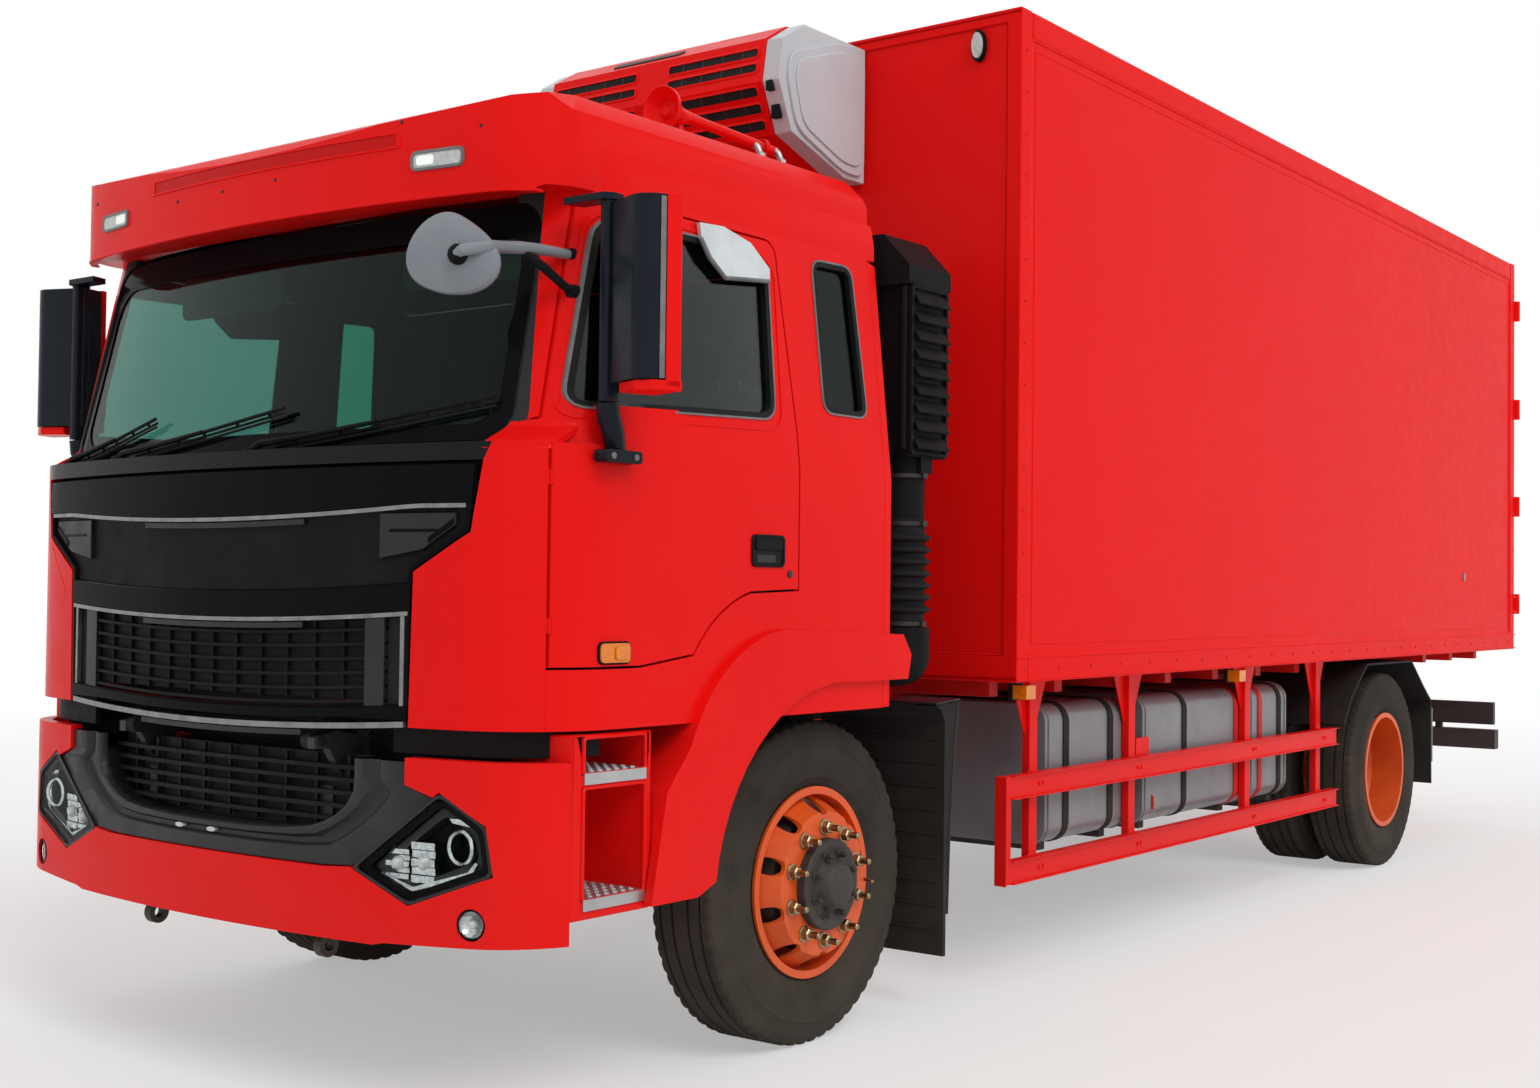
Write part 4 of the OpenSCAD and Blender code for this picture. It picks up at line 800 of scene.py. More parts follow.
def buildMouth():
    keys = mouth["edges"] + tuple((-a, b, -c, d) for a, b, c, d in mouth["edges"][-2::-1])
    stations = []
    for p, q in zip(keys, keys[1:]):
        for k in range(5):
            stations.append([a + (b - a) * k / 5 for a, b in zip(p, q)])
    stations.append(keys[-1])

    bm = bmesh.new()

    def spotAt(i, step, d):
        t, depth = step
        xi, zi, xo, zo = stations[i]
        x, z = xi + (xo - xi) * t, zi + (zo - zi) * t
        return (x, bumperY(x, z, depth + d), z)
    addSheet(bm, spotAt, range(len(stations)), mouth["profile"], 0.004)
    xs = spread(-0.60, 0.60, 25)
    addBand(bm, xs, 0.953, 0.735, 0.104, 0.004, bumperY, mat=1, rows=6)
    for k in range(mouth["slats"]):  # slats across the void
        z = mouth["slatTop"] - mouth["pitch"] * k
        addBand(bm, xs, z, z - 0.012, 0.070, 0.020, bumperY, mat=1)
    for x in spread(-0.5, 0.5, 9):
        addBand(bm, [x - 0.006, x + 0.006], 0.95, 0.75, 0.086, 0.010, bumperY, mat=1)
    for x in (-0.136, 0.018):  # two small lamps in the groove
        addPad(bm, oval(x, mouth["lampZ"], 0.020, 0.007, 16), 0.012, 0.014, bumperY, 2)
    eyeX = mouth["eyeX"]
    for side in (-1, 1):  # posts and tow eyes behind the skin
        a, b = sorted((side * (eyeX - 0.06), side * eyeX))
        addBox(bm, a, b, noseY + 0.115, noseY + 0.20, 0.66, 0.86, 3)
        a, b = sorted((side * (eyeX - 0.045), side * (eyeX - 0.015)))
        addBox(bm, a, b, noseY + 0.115, noseY + 0.16, 0.43, 0.70, 3)
        addLathe(bm, [(0.016, a), (0.034, a), (0.034, b), (0.016, b), (0.016, a)],
                 (0, noseY + 0.125, mouth["eyeZ"]), "x", 28, 3)
    addBand(bm, spread(-0.58, 0.58, 17), 0.69, 0.56, 0.042, 0.066, bumperY, mat=3, rows=3)
    panel = piece("bumper_mouth", bm, "root", [plasticGrey, gasket, paleLens, steelDark],
                  0.0015)
    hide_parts("bumper_surround")


buildMouth()


# headlamps and fog lamps
headlamp = {"outline": ((0.600, 0.660), (0.895, 0.880), (1.040, 0.800), (1.060, 0.670),
                        (0.800, 0.575)), "projector": (0.948, 0.737), "fog": (1.0, 0.543),
            "fogTurn": 20, "boxes": ((0.700, 0.778, 0.640, 0.722), (0.786, 0.862, 0.634, 0.744)),
            "flutes": 5}


def shrink(outline, g):  # moves each edge of a convex outline inwards by g
    out, n = [], len(outline)
    turning = sum(outline[i - 1][0] * outline[i][1] - outline[i][0] * outline[i - 1][1]
                  for i in range(n))
    sign = 1 if turning > 0 else -1
    for i in range(n):
        p, a, b = (Vector(outline[k % n]) for k in (i, i - 1, i + 1))
        e, f = (p - a).normalized(), (b - p).normalized()
        inE, inF = Vector((-e.y, e.x)) * sign, Vector((-f.y, f.x)) * sign
        out.append(tuple(p + (inE + inF) * g / (1 + inE.dot(inF))))
    return out


def buildHeadlamps():
    bm = bmesh.new()
    base = headlamp["outline"]
    soft = [roundCorners(shrink(base, g), 0.02, 4) for g in (0.0008, 0.009, 0.030, 0.052)]
    addRing(bm, soft[0], soft[1], 0.002, 0.03, bumperY, 0)       # thin outer rim
    addRing(bm, soft[1], soft[2], 0.010, 0.05, bumperY, 1)       # gloss surround
    addRing(bm, soft[2], soft[3], 0.026, 0.07, bumperY, 0)
    addPad(bm, soft[2], 0.066, 0.006, bumperY, 1)                # floor of the lamp
    px, pz = headlamp["projector"]
    face = bumperY(px, pz, 0.0)
    lens = [(0.0, -0.002)] + [(0.034 * math.sin(a), 0.018 - 0.020 * math.cos(a))
                              for a in spread(0.2, 1.5, 6)]
    addLathe(bm, lens + [(0.036, 0.05)], (px, face + 0.012, pz), "y", 32, 4)
    addLathe(bm, [(0.037, 0.05), (0.037, 0.016), (0.043, 0.010), (0.049, 0.016), (0.053, 0.05)],
             (px, face + 0.006, pz), "y", 36, 2)
    flutes = headlamp["flutes"]
    for x0, x1, z0, z1 in headlamp["boxes"]:
        for k in range(flutes):  # fluted reflectors
            a = z0 + (z1 - z0) * k / flutes
            addBand(bm, spread(x0, x1, 5), a + (z1 - z0) / flutes - 0.002, a,
                    0.026 + 0.003 * (k % 2), 0.03, bumperY, 2)
        addLathe(bm, [(0, 0.0), (0.012, 0.004), (0.020, 0.014), (0.022, 0.03)],
                 ((x0 + x1) / 2, bumperY(x0, z0, 0.018), (z0 + z1) / 2), "y", 20, 3)
    addBand(bm, spread(0.668, 0.694, 3), lambda x: 0.700 + (x - 0.668) * 0.7, 0.664, 0.03, 0.03,
            bumperY, 2)
    bar = [(0.915, 0.812), (0.985, 0.812), (1.012, 0.786), (1.018, 0.765), (0.992, 0.792),
           (0.925, 0.800)]
    addPad(bm, bar, 0.018, 0.02, bumperY, 2)
    lip = [(0.668, 0.650), (0.800, 0.612), (0.985, 0.664), (1.005, 0.700), (0.996, 0.702),
           (0.975, 0.676), (0.802, 0.624), (0.676, 0.658)]
    addPad(bm, lip, 0.018, 0.02, bumperY, 2)
    addPad(bm, shrink(base, 0.004), 0.0035, 0.003, bumperY, 4)   # outer glass
    fx, fz = headlamp["fog"]
    face = bumperY(fx, fz, 0.0)
    tilt = (Matrix.Translation((fx, face, fz))
            @ Matrix.Rotation(math.radians(headlamp["fogTurn"]), 4, "Z"))
    start = len(bm.verts)
    for profile, steps, mat in (
            ([(0.0405, 0.03), (0.0405, 0.006), (0.037, 0.003), (0.035, 0.007)], 36, 1),
            ([(0, 0.002), (0.018, 0.0035), (0.030, 0.007), (0.035, 0.011)], 36, 4),
            ([(0, 0.030), (0.012, 0.028), (0.026, 0.020), (0.036, 0.009)], 36, 2),
            ([(0, 0.010), (0.009, 0.013), (0.010, 0.03)], 18, 3)):
        addLathe(bm, profile, (0, 0, 0), "y", steps, mat)
    bm.verts.ensure_lookup_table()
    turnAll(bm, tilt, bm.verts[start:])
    addMirror(bm)
    lamp = piece("headlamps", bm, "root",
                 [plasticGrey, glossBlack, reflector, paleLens, clearGlass], 0.0008)
    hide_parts("front_lamps")


buildHeadlamps()
print("front face built")


# the side of the cab as (y, z) -> x
def sideX(y, z, depth=0.0):
    half, corner, big = cab["half"], cab["corner"], cab["curve"]
    side = half - corner
    mid = big - math.sqrt((big - corner) ** 2 - side ** 2)
    if z > 1.80:
        side += 0.003
        start = noseY + cab["screenBack"] + mid / math.cos(cab["rake"])
        start += (z - cab["screenZ"]) * math.tan(cab["rake"])
        back = max(0.0, start - y) * math.cos(cab["rake"])
    else:
        back = max(0.0, noseY + mid - y)
    flat = side + math.sqrt(max((corner - depth) ** 2 - back * back, 0.0))
    return min(flat, half + 0.008 - 0.1059 * (z - 1.71) - depth)


def sideSpot(y, z, depth):  # on the left side; y counts from the front axle
    return (sideX(y + axle, z, depth), y + axle, z)


def addSidePad(bm, outline, depth, thick, mat=0):
    front, back = ([sideSpot(y, z, d) for y, z in outline] for d in (depth, depth + thick))
    addSlab(bm, front, back, mat)


def addSideRing(bm, outer, inner, near, far, mat):
    addFrame(bm, outer, inner, near, far, sideSpot, mat)


def finer(points, count=6):  # more points along each edge, for a curved face
    out = []
    for p, q in zip(points, points[1:] + points[:1]):
        out += [tuple(a + (b - a) * k / count for a, b in zip(p, q)) for k in range(count)]
    return out


def buildWindscreen():
    # black band round the glass, seals and wipers
    bm = bmesh.new()
    top, low = 2.474, 1.812
    edge = {"side": 0.995, "topIn": 0.085, "lowIn": 0.045, "sideIn": 0.045}

    def halfWide(z):
        return edge["side"] + 0.012 - 0.022 * (z - low) / (top - low)
    across = spread(-1, 1, 41)
    for a, b in ((top, top - edge["topIn"]), (low + edge["lowIn"], low)):
        def spotAt(u, t, d, a=a, b=b):
            z = a + (b - a) * t
            x = u * halfWide(z)
            return (x, screenY(x, z, 0.006 + d), z)
        addSheet(bm, spotAt, across, spread(0, 1, 3), 0.002)
    for side in (-1, 1):
        def spotAt(t, z, d, side=side):
            x = side * (halfWide(z) - edge["sideIn"] * t)
            return (x, screenY(x, z, 0.006 + d), z)
        addSheet(bm, spotAt, spread(0, 1, 4), spread(low, top, 17), 0.002)
        for u in (-1, 1):  # rounded inner corners
            z0 = low + edge["lowIn"] if u < 0 else top - edge["topIn"]
            x0 = side * (halfWide(z0) - edge["sideIn"])
            fan = [(x0, z0)]
            for a in spread(0, math.pi / 2, 7):
                fan.append((x0 - side * 0.09 * (1 - math.sin(a)),
                            z0 - u * 0.09 * (1 - math.cos(a))))
            addPad(bm, fan, 0.006, 0.002, screenY)
    seal = [(side * (halfWide(z) + 0.004), z) for side, zs in
            ((1, spread(low + 0.05, top - 0.05, 9)), (-1, spread(top - 0.05, low + 0.05, 9)))
            for z in zs]
    addTube(bm, [(x, screenY(x, z, 0.006), z) for x, z in seal], 0.006, 8, 1, closed=True)
    piece("screen_band", bm, "cab", [glossBlack, gasket], 0.0)

    bm = bmesh.new()  # wiper arms with their blades and spindles
    wipers = {"pivots": ((0.10, 0.965), (-0.62, 0.20), (-0.98, -0.45)), "z": 1.800,
              "rise": 0.105, "blade": 0.011}
    for foot, tip in wipers["pivots"]:
        run = tip - foot

        def wiperSpot(t, off=0.0, lift=0.0):
            x = foot + run * t
            z = wipers["z"] + 0.022 + wipers["rise"] * t ** 1.3 + off
            return Vector((x, screenY(x, z, -0.018 - lift), z))
        fy = screenY(foot, wipers["z"], -0.012)
        addLathe(bm, [(0, -0.035), (0.016, -0.030), (0.019, -0.018), (0.019, 0.03)],
                 (foot, fy, wipers["z"]), "y", 24)
        addTube(bm, [(foot, fy - 0.018, wipers["z"])] +
                [wiperSpot(t, 0.0, 0.012 * (1 - t)) for t in spread(0.05, 0.56, 9)],
                [0.013, 0.012, 0.011, 0.010, 0.009, 0.008, 0.008, 0.007, 0.007, 0.006], 8)
        addTube(bm, [wiperSpot(t) for t in spread(0.12, 1.0, 17)], 0.0055, 6)
        for lift in (0.0, 0.012):
            addTube(bm, [wiperSpot(t, -0.012 - lift, -0.010) for t in spread(0.10, 1.0, 17)],
                    0.004, 6, 1)
        for t in (0.2, 0.4, 0.56, 0.75, 0.92):
            addTube(bm, [wiperSpot(t), wiperSpot(t, -0.014, -0.010)], 0.005, 6)
    piece("wipers", bm, "cab", [plasticBlack, rubber], 0.0)


def buildVisor():
    # lamps at the ends of the visor, its sunk channel, screws and the roof's front edge
    bm = bmesh.new()
    lamp = {"x": (0.668, 0.848), "z": (2.557, 2.612), "rim": 0.008}
    (x0, x1), (z0, z1), rim = lamp["x"], lamp["z"], lamp["rim"]
    inner = roundRect(x0 + rim, x1 - rim, z0 + rim, z1 - rim, 0.012)
    addRing(bm, roundRect(x0, x1, z0, z1, 0.018), inner, -0.006, 0.01, visorY, 0)
    addPad(bm, inner, -0.0035, 0.01, visorY, 1)
    lit = roundRect(x0 + 0.02, x0 + 0.078, z0 + 0.014, z1 - 0.014, 0.008)
    addPad(bm, lit, -0.0055, 0.006, visorY, 2)
    addMirror(bm)
    piece("visor_lamps", bm, "cab", [gasketPale, paleLens, lampWhite], 0.001)
    bm = bmesh.new()  # a raised edge around the long channel
    channel = {"ends": (-0.50, 0.62), "top": 2.672, "low": 2.628, "lip": 0.006}
    start, stop = channel["ends"]
    top, low, lip = channel["top"], channel["low"], channel["lip"]
    xs = spread(start, stop, 25)
    addBand(bm, xs, top, top - 0.004, -0.004, 0.008, visorY)
    addBand(bm, xs, low + lip, low, -0.0045, 0.008, visorY)
    for x in channel["ends"]:
        addBand(bm, spread(x - lip, x + lip, 3), top, low, -0.004, 0.008, visorY)
    addBand(bm, spread(-1.04, 1.04, 41), 2.488, 2.479, -0.003, 0.02, visorY)
    piece("visor_channel", bm, "cab", red, 0.0012)
    # the channel's floor, in a darker red that is painted shade in the recess
    bm = bmesh.new()
    addBand(bm, spread(start + 0.008, stop - 0.008, 25), top - 0.005, low + 0.007, -0.0012, 0.004,
            visorY)
    piece("visor_channel_floor", bm, "cab", redShadeSunk, 0.0)
    bm = bmesh.new()
    for x, z in ((-0.36, 2.592), (-0.12, 2.592), (0.13, 2.595), (0.90, 2.66), (0.63, 2.70),
                 (-0.9, 2.66)):
        addLathe(bm, [(0, -0.003), (0.005, -0.002), (0.006, 0.004)],
                 (x, visorY(x, z), z), "y", 14)
    piece("visor_screws", bm, "cab", steelDark, 0.0)


def buildDoorTrim(side):
    name = sideNames[side]
    body = "door_" + name
    window = finer(roundCorners([(-1.150, 1.905), (-0.330, 1.935), (-0.315, 2.385),
                                 (-0.410, 2.430), (-1.030, 2.422)], 0.055, 5), 2)
    bm = bmesh.new()  # seal, pale bead and the pressed frame round the window
    addSideRing(bm, shrink(window, -0.008), shrink(window, 0.012), -0.003, 0.016, 0)
    addSideRing(bm, shrink(window, -0.010), shrink(window, -0.004), -0.0045, 0.006, 1)
    ledge = roundCorners([(-1.183, 1.868), (-0.285, 1.895), (-0.270, 2.400), (-0.385, 2.456),
                          (-1.050, 2.450)], 0.07, 6)
    addSideRing(bm, finer(ledge, 2), finer(shrink(ledge, 0.008), 2), -0.0035, 0.004, 2)
    for z in (1.757, 1.674):  # pressed lines across the door
        addTube(bm, [sideSpot(y, z, 0.0035) for y in spread(-1.17, -0.235, 17)], 0.0045, 6, 2)
    toSide(bm, side)
    piece("window_trim_" + name, bm, body, [gasket, gasketPale, red], 0.0)

    bm = bmesh.new()  # handle in its recess, and the lock
    plate = roundRect(-0.452, -0.292, 1.487, 1.583, 0.018)
    addSideRing(bm, plate, shrink(plate, 0.009), -0.006, 0.004, 0)
    addSidePad(bm, shrink(plate, 0.007), -0.0015, 0.006, 1)
    addSidePad(bm, roundRect(-0.437, -0.307, 1.538, 1.574, 0.010), -0.0085, 0.008, 0)
    addSidePad(bm, roundRect(-0.425, -0.335, 1.500, 1.524, 0.010), -0.003, 0.006, 2)
    lock = (sideX(axle - 0.26, 1.47, 0), axle - 0.262, 1.468)
    addLathe(bm, [(0.012, -0.004), (0.012, 0.004), (0.009, 0.005), (0, 0.005)], lock, "x", 20, 2)
    toSide(bm, side)
    piece("door_handle_" + name, bm, body, [plasticBlack, gasket, steelDark], 0.0012)

    bm = bmesh.new()  # bright wind wedge at the window's upper rear corner
    wedge = [(-0.640, 2.474), (-0.530, 2.480), (-0.405, 2.452), (-0.318, 2.385), (-0.322, 2.350),
             (-0.535, 2.330), (-0.600, 2.378), (-0.636, 2.425)]
    addSidePad(bm, finer(wedge, 2), -0.020, 0.016, 0)
    lipLine = [(-0.636, 2.430), (-0.600, 2.376), (-0.535, 2.328), (-0.320, 2.348)]
    addTube(bm, [sideSpot(y, z, -0.014) for y, z in lipLine], 0.008, 8, 1)
    toSide(bm, side)
    piece("wind_wedge_" + name, bm, body, [silverPale, gasketPale], 0.003)


def buildSideTrim():
    # quarter windows, seams, turn lamps and the corner's pressed crease
    bm = bmesh.new()
    pane = finer(roundCorners([(-0.060, 1.980), (0.160, 1.980), (0.132, 2.450),
                               (-0.068, 2.445)], 0.04, 5), 2)
    addSideRing(bm, shrink(pane, -0.010), shrink(pane, 0.010), -0.003, 0.016, 0)
    addSideRing(bm, shrink(pane, -0.012), shrink(pane, -0.006), -0.0045, 0.006, 1)
    addMirror(bm)
    piece("quarter_trim", bm, "cab", [gasket, gasketPale], 0.0)

    bm = bmesh.new()
    lens = roundRect(-1.095, -0.985, 1.222, 1.274, 0.012)
    addSideRing(bm, shrink(lens, -0.005), lens, -0.006, 0.003, 1)
    addSidePad(bm, lens, -0.010, 0.010, 0)
    addSidePad(bm, roundRect(-1.045, -0.992, 1.230, 1.266, 0.008), -0.0135, 0.004, 0)
    addMirror(bm)
    piece("turn_lamps", bm, "cab", [amber, plasticBlack], 0.0015)

    bm = bmesh.new()  # creases pressed into the red corners
    for (xa, za), (xb, zb) in (((0.966, 1.535), (0.845, 1.385)), ((0.845, 1.385), (1.135, 1.402)),
                               ((0.800, 1.078), (1.150, 1.110))):
        spots = [(xa + (xb - xa) * t, za + (zb - za) * t) for t in spread(0, 1, 11)]
        addTube(bm, [(x, faceY(x, z, 0.0035), z) for x, z in spots], 0.0045, 6)
    addMirror(bm)
    piece("corner_creases", bm, "cab", red, 0.0)

    bm = bmesh.new()  # black filler between the front corners and the bumper, and a radiator
    addBand(bm, spread(0.70, 1.16, 17), 1.062, 0.972, 0.045, 0.02)
    addMirror(bm)
    radiator = {"y": -4.165, "low": 0.78, "top": 1.036, "fins": 12}
    for x0, x1 in ((-1.02, -0.475), (-0.385, 0.385), (0.475, 1.02)):
        addBox(bm, x0, x1, radiator["y"], radiator["y"] + 0.015, radiator["low"], radiator["top"])
        for z in spread(radiator["low"] + 0.02, radiator["top"] - 0.016, radiator["fins"]):
            addBox(bm, x0, x1, radiator["y"] - 0.007, radiator["y"] + 0.001, z - 0.003, z + 0.003)
    piece("bumper_filler", bm, "root", plasticBlack, 0.002)


mirrorShape = {"spot": (1.336, -1.085), "turn": -18.0, "low": 1.93, "high": 2.44}


def buildMirror(side):
    name = sideNames[side]
    low, high = mirrorShape["low"], mirrorShape["high"]

    def plan(grow, y0, y1):  # housing in plan, rounder at its outer front corner
        pts = [(-0.112 - grow, y1), (-0.112 - grow, y0 + 0.01)]
        pts += [(0.045 + (0.058 + grow) * math.sin(a), y0 + 0.060 - (0.060 + grow) * math.cos(a))
                for a in spread(0, math.pi / 2, 7)]
        return pts + [(0.103 + grow, y1)]
    bm = bmesh.new()
    addPrism(bm, plan(0.0, -0.066, 0.030), "z", low + 0.028, high - 0.004, 0)
    addPrism(bm, [(-0.112, 0.056), (-0.112, 0.034), (0.095, 0.034), (0.098, 0.012),
                  (0.107, 0.006), (0.107, 0.050), (0.100, 0.056)], "z", low + 0.01, high, 1)
    addPrism(bm, [(-0.030, -0.052), (0.060, -0.060), (0.098, -0.030), (0.107, 0.01),
                  (0.107, 0.056), (-0.030, 0.056)], "z", low, low + 0.026, 1)
    addPrism(bm, [(0.1035, -0.012), (0.1065, -0.012), (0.1065, 0.004), (0.1035, 0.004)], "z",
             low + 0.03, high - 0.01, 3)
    addPrism(bm, roundRect(-0.100, 0.092, low + 0.19, high - 0.014, 0.02), "y", 0.055, 0.0585, 2)
    addPrism(bm, roundRect(-0.100, 0.092, low + 0.030, low + 0.175, 0.02), "y", 0.055, 0.0585, 2)
    turnAll(bm, Matrix.Translation((mirrorShape["spot"][0], mirrorShape["spot"][1] + axle, 0))
            @ Matrix.Rotation(math.radians(mirrorShape["turn"]), 4, "Z"))
    x, y = 1.232, axle - 1.105  # post, bracket and foot
    addPrism(bm, roundCorners([(x - 0.014, y - 0.026), (x + 0.020, y - 0.026),
                               (x + 0.020, y + 0.030), (x - 0.014, y + 0.030)], 0.012, 4), "z",
             low - 0.02, high + 0.020, 0)
    bracket = [(1.098, y - 0.040), (1.245, y - 0.040), (1.262, y - 0.015), (1.262, y + 0.022),
               (1.12, y + 0.022)]
    addPrism(bm, bracket, "z", high + 0.002, high + 0.021, 0)
    addTube(bm, [(x, y, low - 0.02), (x, y + 0.006, low - 0.06), (x - 0.004, y + 0.03, 1.83),
                 (x - 0.010, y + 0.045, 1.786)], [0.030, 0.032, 0.030, 0.028], 14, 0)
    foot = roundRect(y - 0.026, y + 0.118, 1.752, 1.786, 0.012)
    addPrism(bm, foot, "x", 1.211, 1.256, 0)
    for dy in (0.0, 0.09):
        addLathe(bm, [(0.009, 0.0), (0.009, 0.005), (0, 0.006)], (1.256, y + dy, 1.769), "x", 12,
                 3)
    toSide(bm, side)
    shell = piece("mirror_housing_" + name, bm, "door_" + name,
                  [navyBlack, red, mirrorGlass, gasketPale], 0.005, segments=3)
    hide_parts("mirror_" + name)


kerbMirror = {"head": (0.960, -1.420, 2.285), "turn": 12, "foot": (1.070, -1.072, 2.320),
              "brace": (1.092, -1.092, 2.216), "steps": 40}


def buildKerbMirror():
    bm = bmesh.new()
    centre, foot, brace = (fromAxle(*kerbMirror[k]) for k in ("head", "foot", "brace"))
    steps = kerbMirror["steps"]
    outline = []  # wide at the upper left, narrow at the lower right
    for a in spread(0, 2 * math.pi, steps + 1)[:-1]:
        r = 1.0 + 0.10 * math.cos(2 * (a + 0.6))
        outline.append((0.136 * r * math.cos(a) - 0.035 * math.sin(a) * math.cos(a),
                        0.112 * r * math.sin(a)))
    rings = []
    for scale, y in ((0.0, -0.020), (0.45, -0.018), (0.80, -0.012), (0.96, -0.002), (1.0, 0.008),
                     (0.985, 0.019), (0.93, 0.020)):
        if scale == 0.0:
            rings.append([bm.verts.new((0, y, 0))])
        else:
            rings.append([bm.verts.new((u * scale, y, w * scale)) for u, w in outline])
    for k in range(steps):
        n = (k + 1) % steps
        bm.faces.new((rings[0][0], rings[1][k], rings[1][n])).material_index = 0
        for i in range(1, 6):
            bm.faces.new((rings[i][k], rings[i][n], rings[i + 1][n], rings[i + 1][k]))
    bm.faces.new(rings[-1]).material_index = 2
    turnAll(bm, Matrix.Translation(centre)
            @ Matrix.Rotation(math.radians(kerbMirror["turn"]), 4, "Z"))
    hub = centre + Vector((0.045, 0.004, -0.010))
    elbow = hub + Vector((0.03, -0.030, 0.006))
    path = [hub + Vector((0, -0.022, 0)), elbow, elbow + Vector((0.045, 0.05, 0.012))]
    path += [elbow.lerp(foot, t) + Vector((0, 0, 0.014 * math.sin(math.pi * t)))
             for t in (0.35, 0.5, 0.65, 0.8, 0.92)] + [foot]
    addTube(bm, path, [0.013, 0.016, 0.017, 0.017, 0.017, 0.016, 0.015, 0.014, 0.013], 12, 0)
    branch = elbow.lerp(foot, 0.55)
    addTube(bm, [branch, branch.lerp(brace, 0.35) + Vector((0.01, 0, -0.004)),
                 branch.lerp(brace, 0.75) + Vector((0.012, 0, -0.012)), brace],
            [0.012, 0.013, 0.012, 0.012], 10, 1)
    addLathe(bm, [(0, -0.036), (0.020, -0.034), (0.026, -0.026), (0.030, 0.0)], hub, "y", 24, 1)
    for p in (foot, brace):
        addLathe(bm, [(0, -0.020), (0.016, -0.018), (0.020, -0.008), (0.021, 0.012)], p, "y", 20,
                 1)
    arm = piece("kerb_mirror_shell", bm, "cab", [paleGrey, plasticBlack, mirrorGlass],
                0.0)
    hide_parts("kerb_mirror")


def buildCowlCorners():
    # red shoulders that carry the corner panels up into the pillars
    bm = bmesh.new()

    def spotAt(x, t, d):
        z = 1.782 + 0.084 * t
        low, high = faceY(x, 1.782, d), screenY(x, 1.866, d + 0.002)
        return (x, low + (high - low) * t * t * (3 - 2 * t), z)
    addSheet(bm, spotAt, spread(1.004, 1.148, 13), spread(0, 1, 9), 0.02)
    addMirror(bm)
    piece("cowl_corners", bm, "cab", red, 0.002)


lampWhite = finish("litLamp", (0.80, 0.84, 0.80), (0.70, 0.75, 0.70), rough=0.2, tone=40.0,
                   bump=0.2, glow=0.35)
silverPale = finish("brightWedge", (0.66, 0.70, 0.72), (0.50, 0.54, 0.56), rough=0.24, metal=0.35,
                    coat=0.3, tone=9.0, bump=0.05)
# the visor channel's red made darker as painted shade for the sunk floor
redShadeSunk = finish("sunkRedPaintedShade", (0.60, 0.0045, 0.004), (0.54, 0.004, 0.0035), rough=0.4,
                 tone=1.2, spec=0.1)
buildWindscreen()
buildVisor()
buildSideTrim()
buildCowlCorners()
for side in (1, -1):
    buildDoorTrim(side)
    buildMirror(side)
buildKerbMirror()
print("cab trim built")


# wheels: tyres with ribs, grooves and shoulder cuts, hubs, nuts and valves
wheelTable = {"front": (0.997, axle, ("wheel_front_left", "wheel_front_right")),
              "rear": (1.107, rearAxle, ("wheels_rear_left", "wheels_rear_right")),
              "gap": 0.326, "steps": 180, "cut": 0.007, "nuts": 10, "nutCircle": 0.176}
sideRows = [(0.2865, 0.100), (0.300, 0.108), (0.318, 0.119), (0.326, 0.1235), (0.329, 0.1260),
            (0.333, 0.1262), (0.337, 0.1275), (0.352, 0.1325), (0.372, 0.1368), (0.390, 0.138),
            (0.410, 0.1368), (0.422, 0.1345), (0.425, 0.1362), (0.430, 0.1358), (0.434, 0.1325),
            (0.450, 0.1265), (0.460, 0.1225), (0.463, 0.1232), (0.470, 0.1222), (0.475, 0.1198)]
treadRows = [(0.484, 0.1185), (0.497, 0.1130), (0.5035, 0.1060), (0.5058, 0.098), (0.5058, 0.0835)]
ribRows = [(0.5058, 0.0815), (0.495, 0.0795), (0.493, 0.0760), (0.495, 0.0725), (0.5058, 0.0705),
           (0.5058, 0.036), (0.495, 0.034), (0.493, 0.0305), (0.495, 0.027), (0.5058, 0.025)]


def addTyre(bm, x, y):
    half = [(r, w, 0) for r, w in sideRows] + [(r, w, 1) for r, w in treadRows]
    half += [(r, w, 0) for r, w in ribRows]
    rows = half + [(r, -w, cut) for r, w, cut in reversed(half)]
    steps, rings = wheelTable["steps"], []
    for r, w, cut in rows:
        ring = []
        for k in range(steps):
            low = wheelTable["cut"] if cut and k % 3 == 0 else 0.0
            t = 2 * math.pi * k / steps
            ring.append(bm.verts.new((x + w, y + (r - low) * math.cos(t),
                                      axleZ + (r - low) * math.sin(t))))
        rings.append(ring)
    stitch(bm, rings, around=True)


def addNuts(bm, x, y, count, radius, size, out, mat):
    for k in range(count):
        t = 2 * math.pi * (k + 0.5) / count
        spot = (x, y + radius * math.cos(t), axleZ + radius * math.sin(t))
        addLathe(bm, [(size * 1.25, 0.0), (size * 1.25, 0.004), (size * 0.9, 0.006)], spot, "x", 16,
                 mat)
        addLathe(bm, [(size, 0.005), (size, 0.024), (size * 0.8, 0.028), (size * 0.5, 0.0285)],
                 spot, "x", 6, mat, start=k)
        addLathe(bm, [(size * 0.5, 0.024), (size * 0.5, out), (size * 0.38, out + 0.003),
                      (0, out + 0.003)], spot, "x", 12, mat)


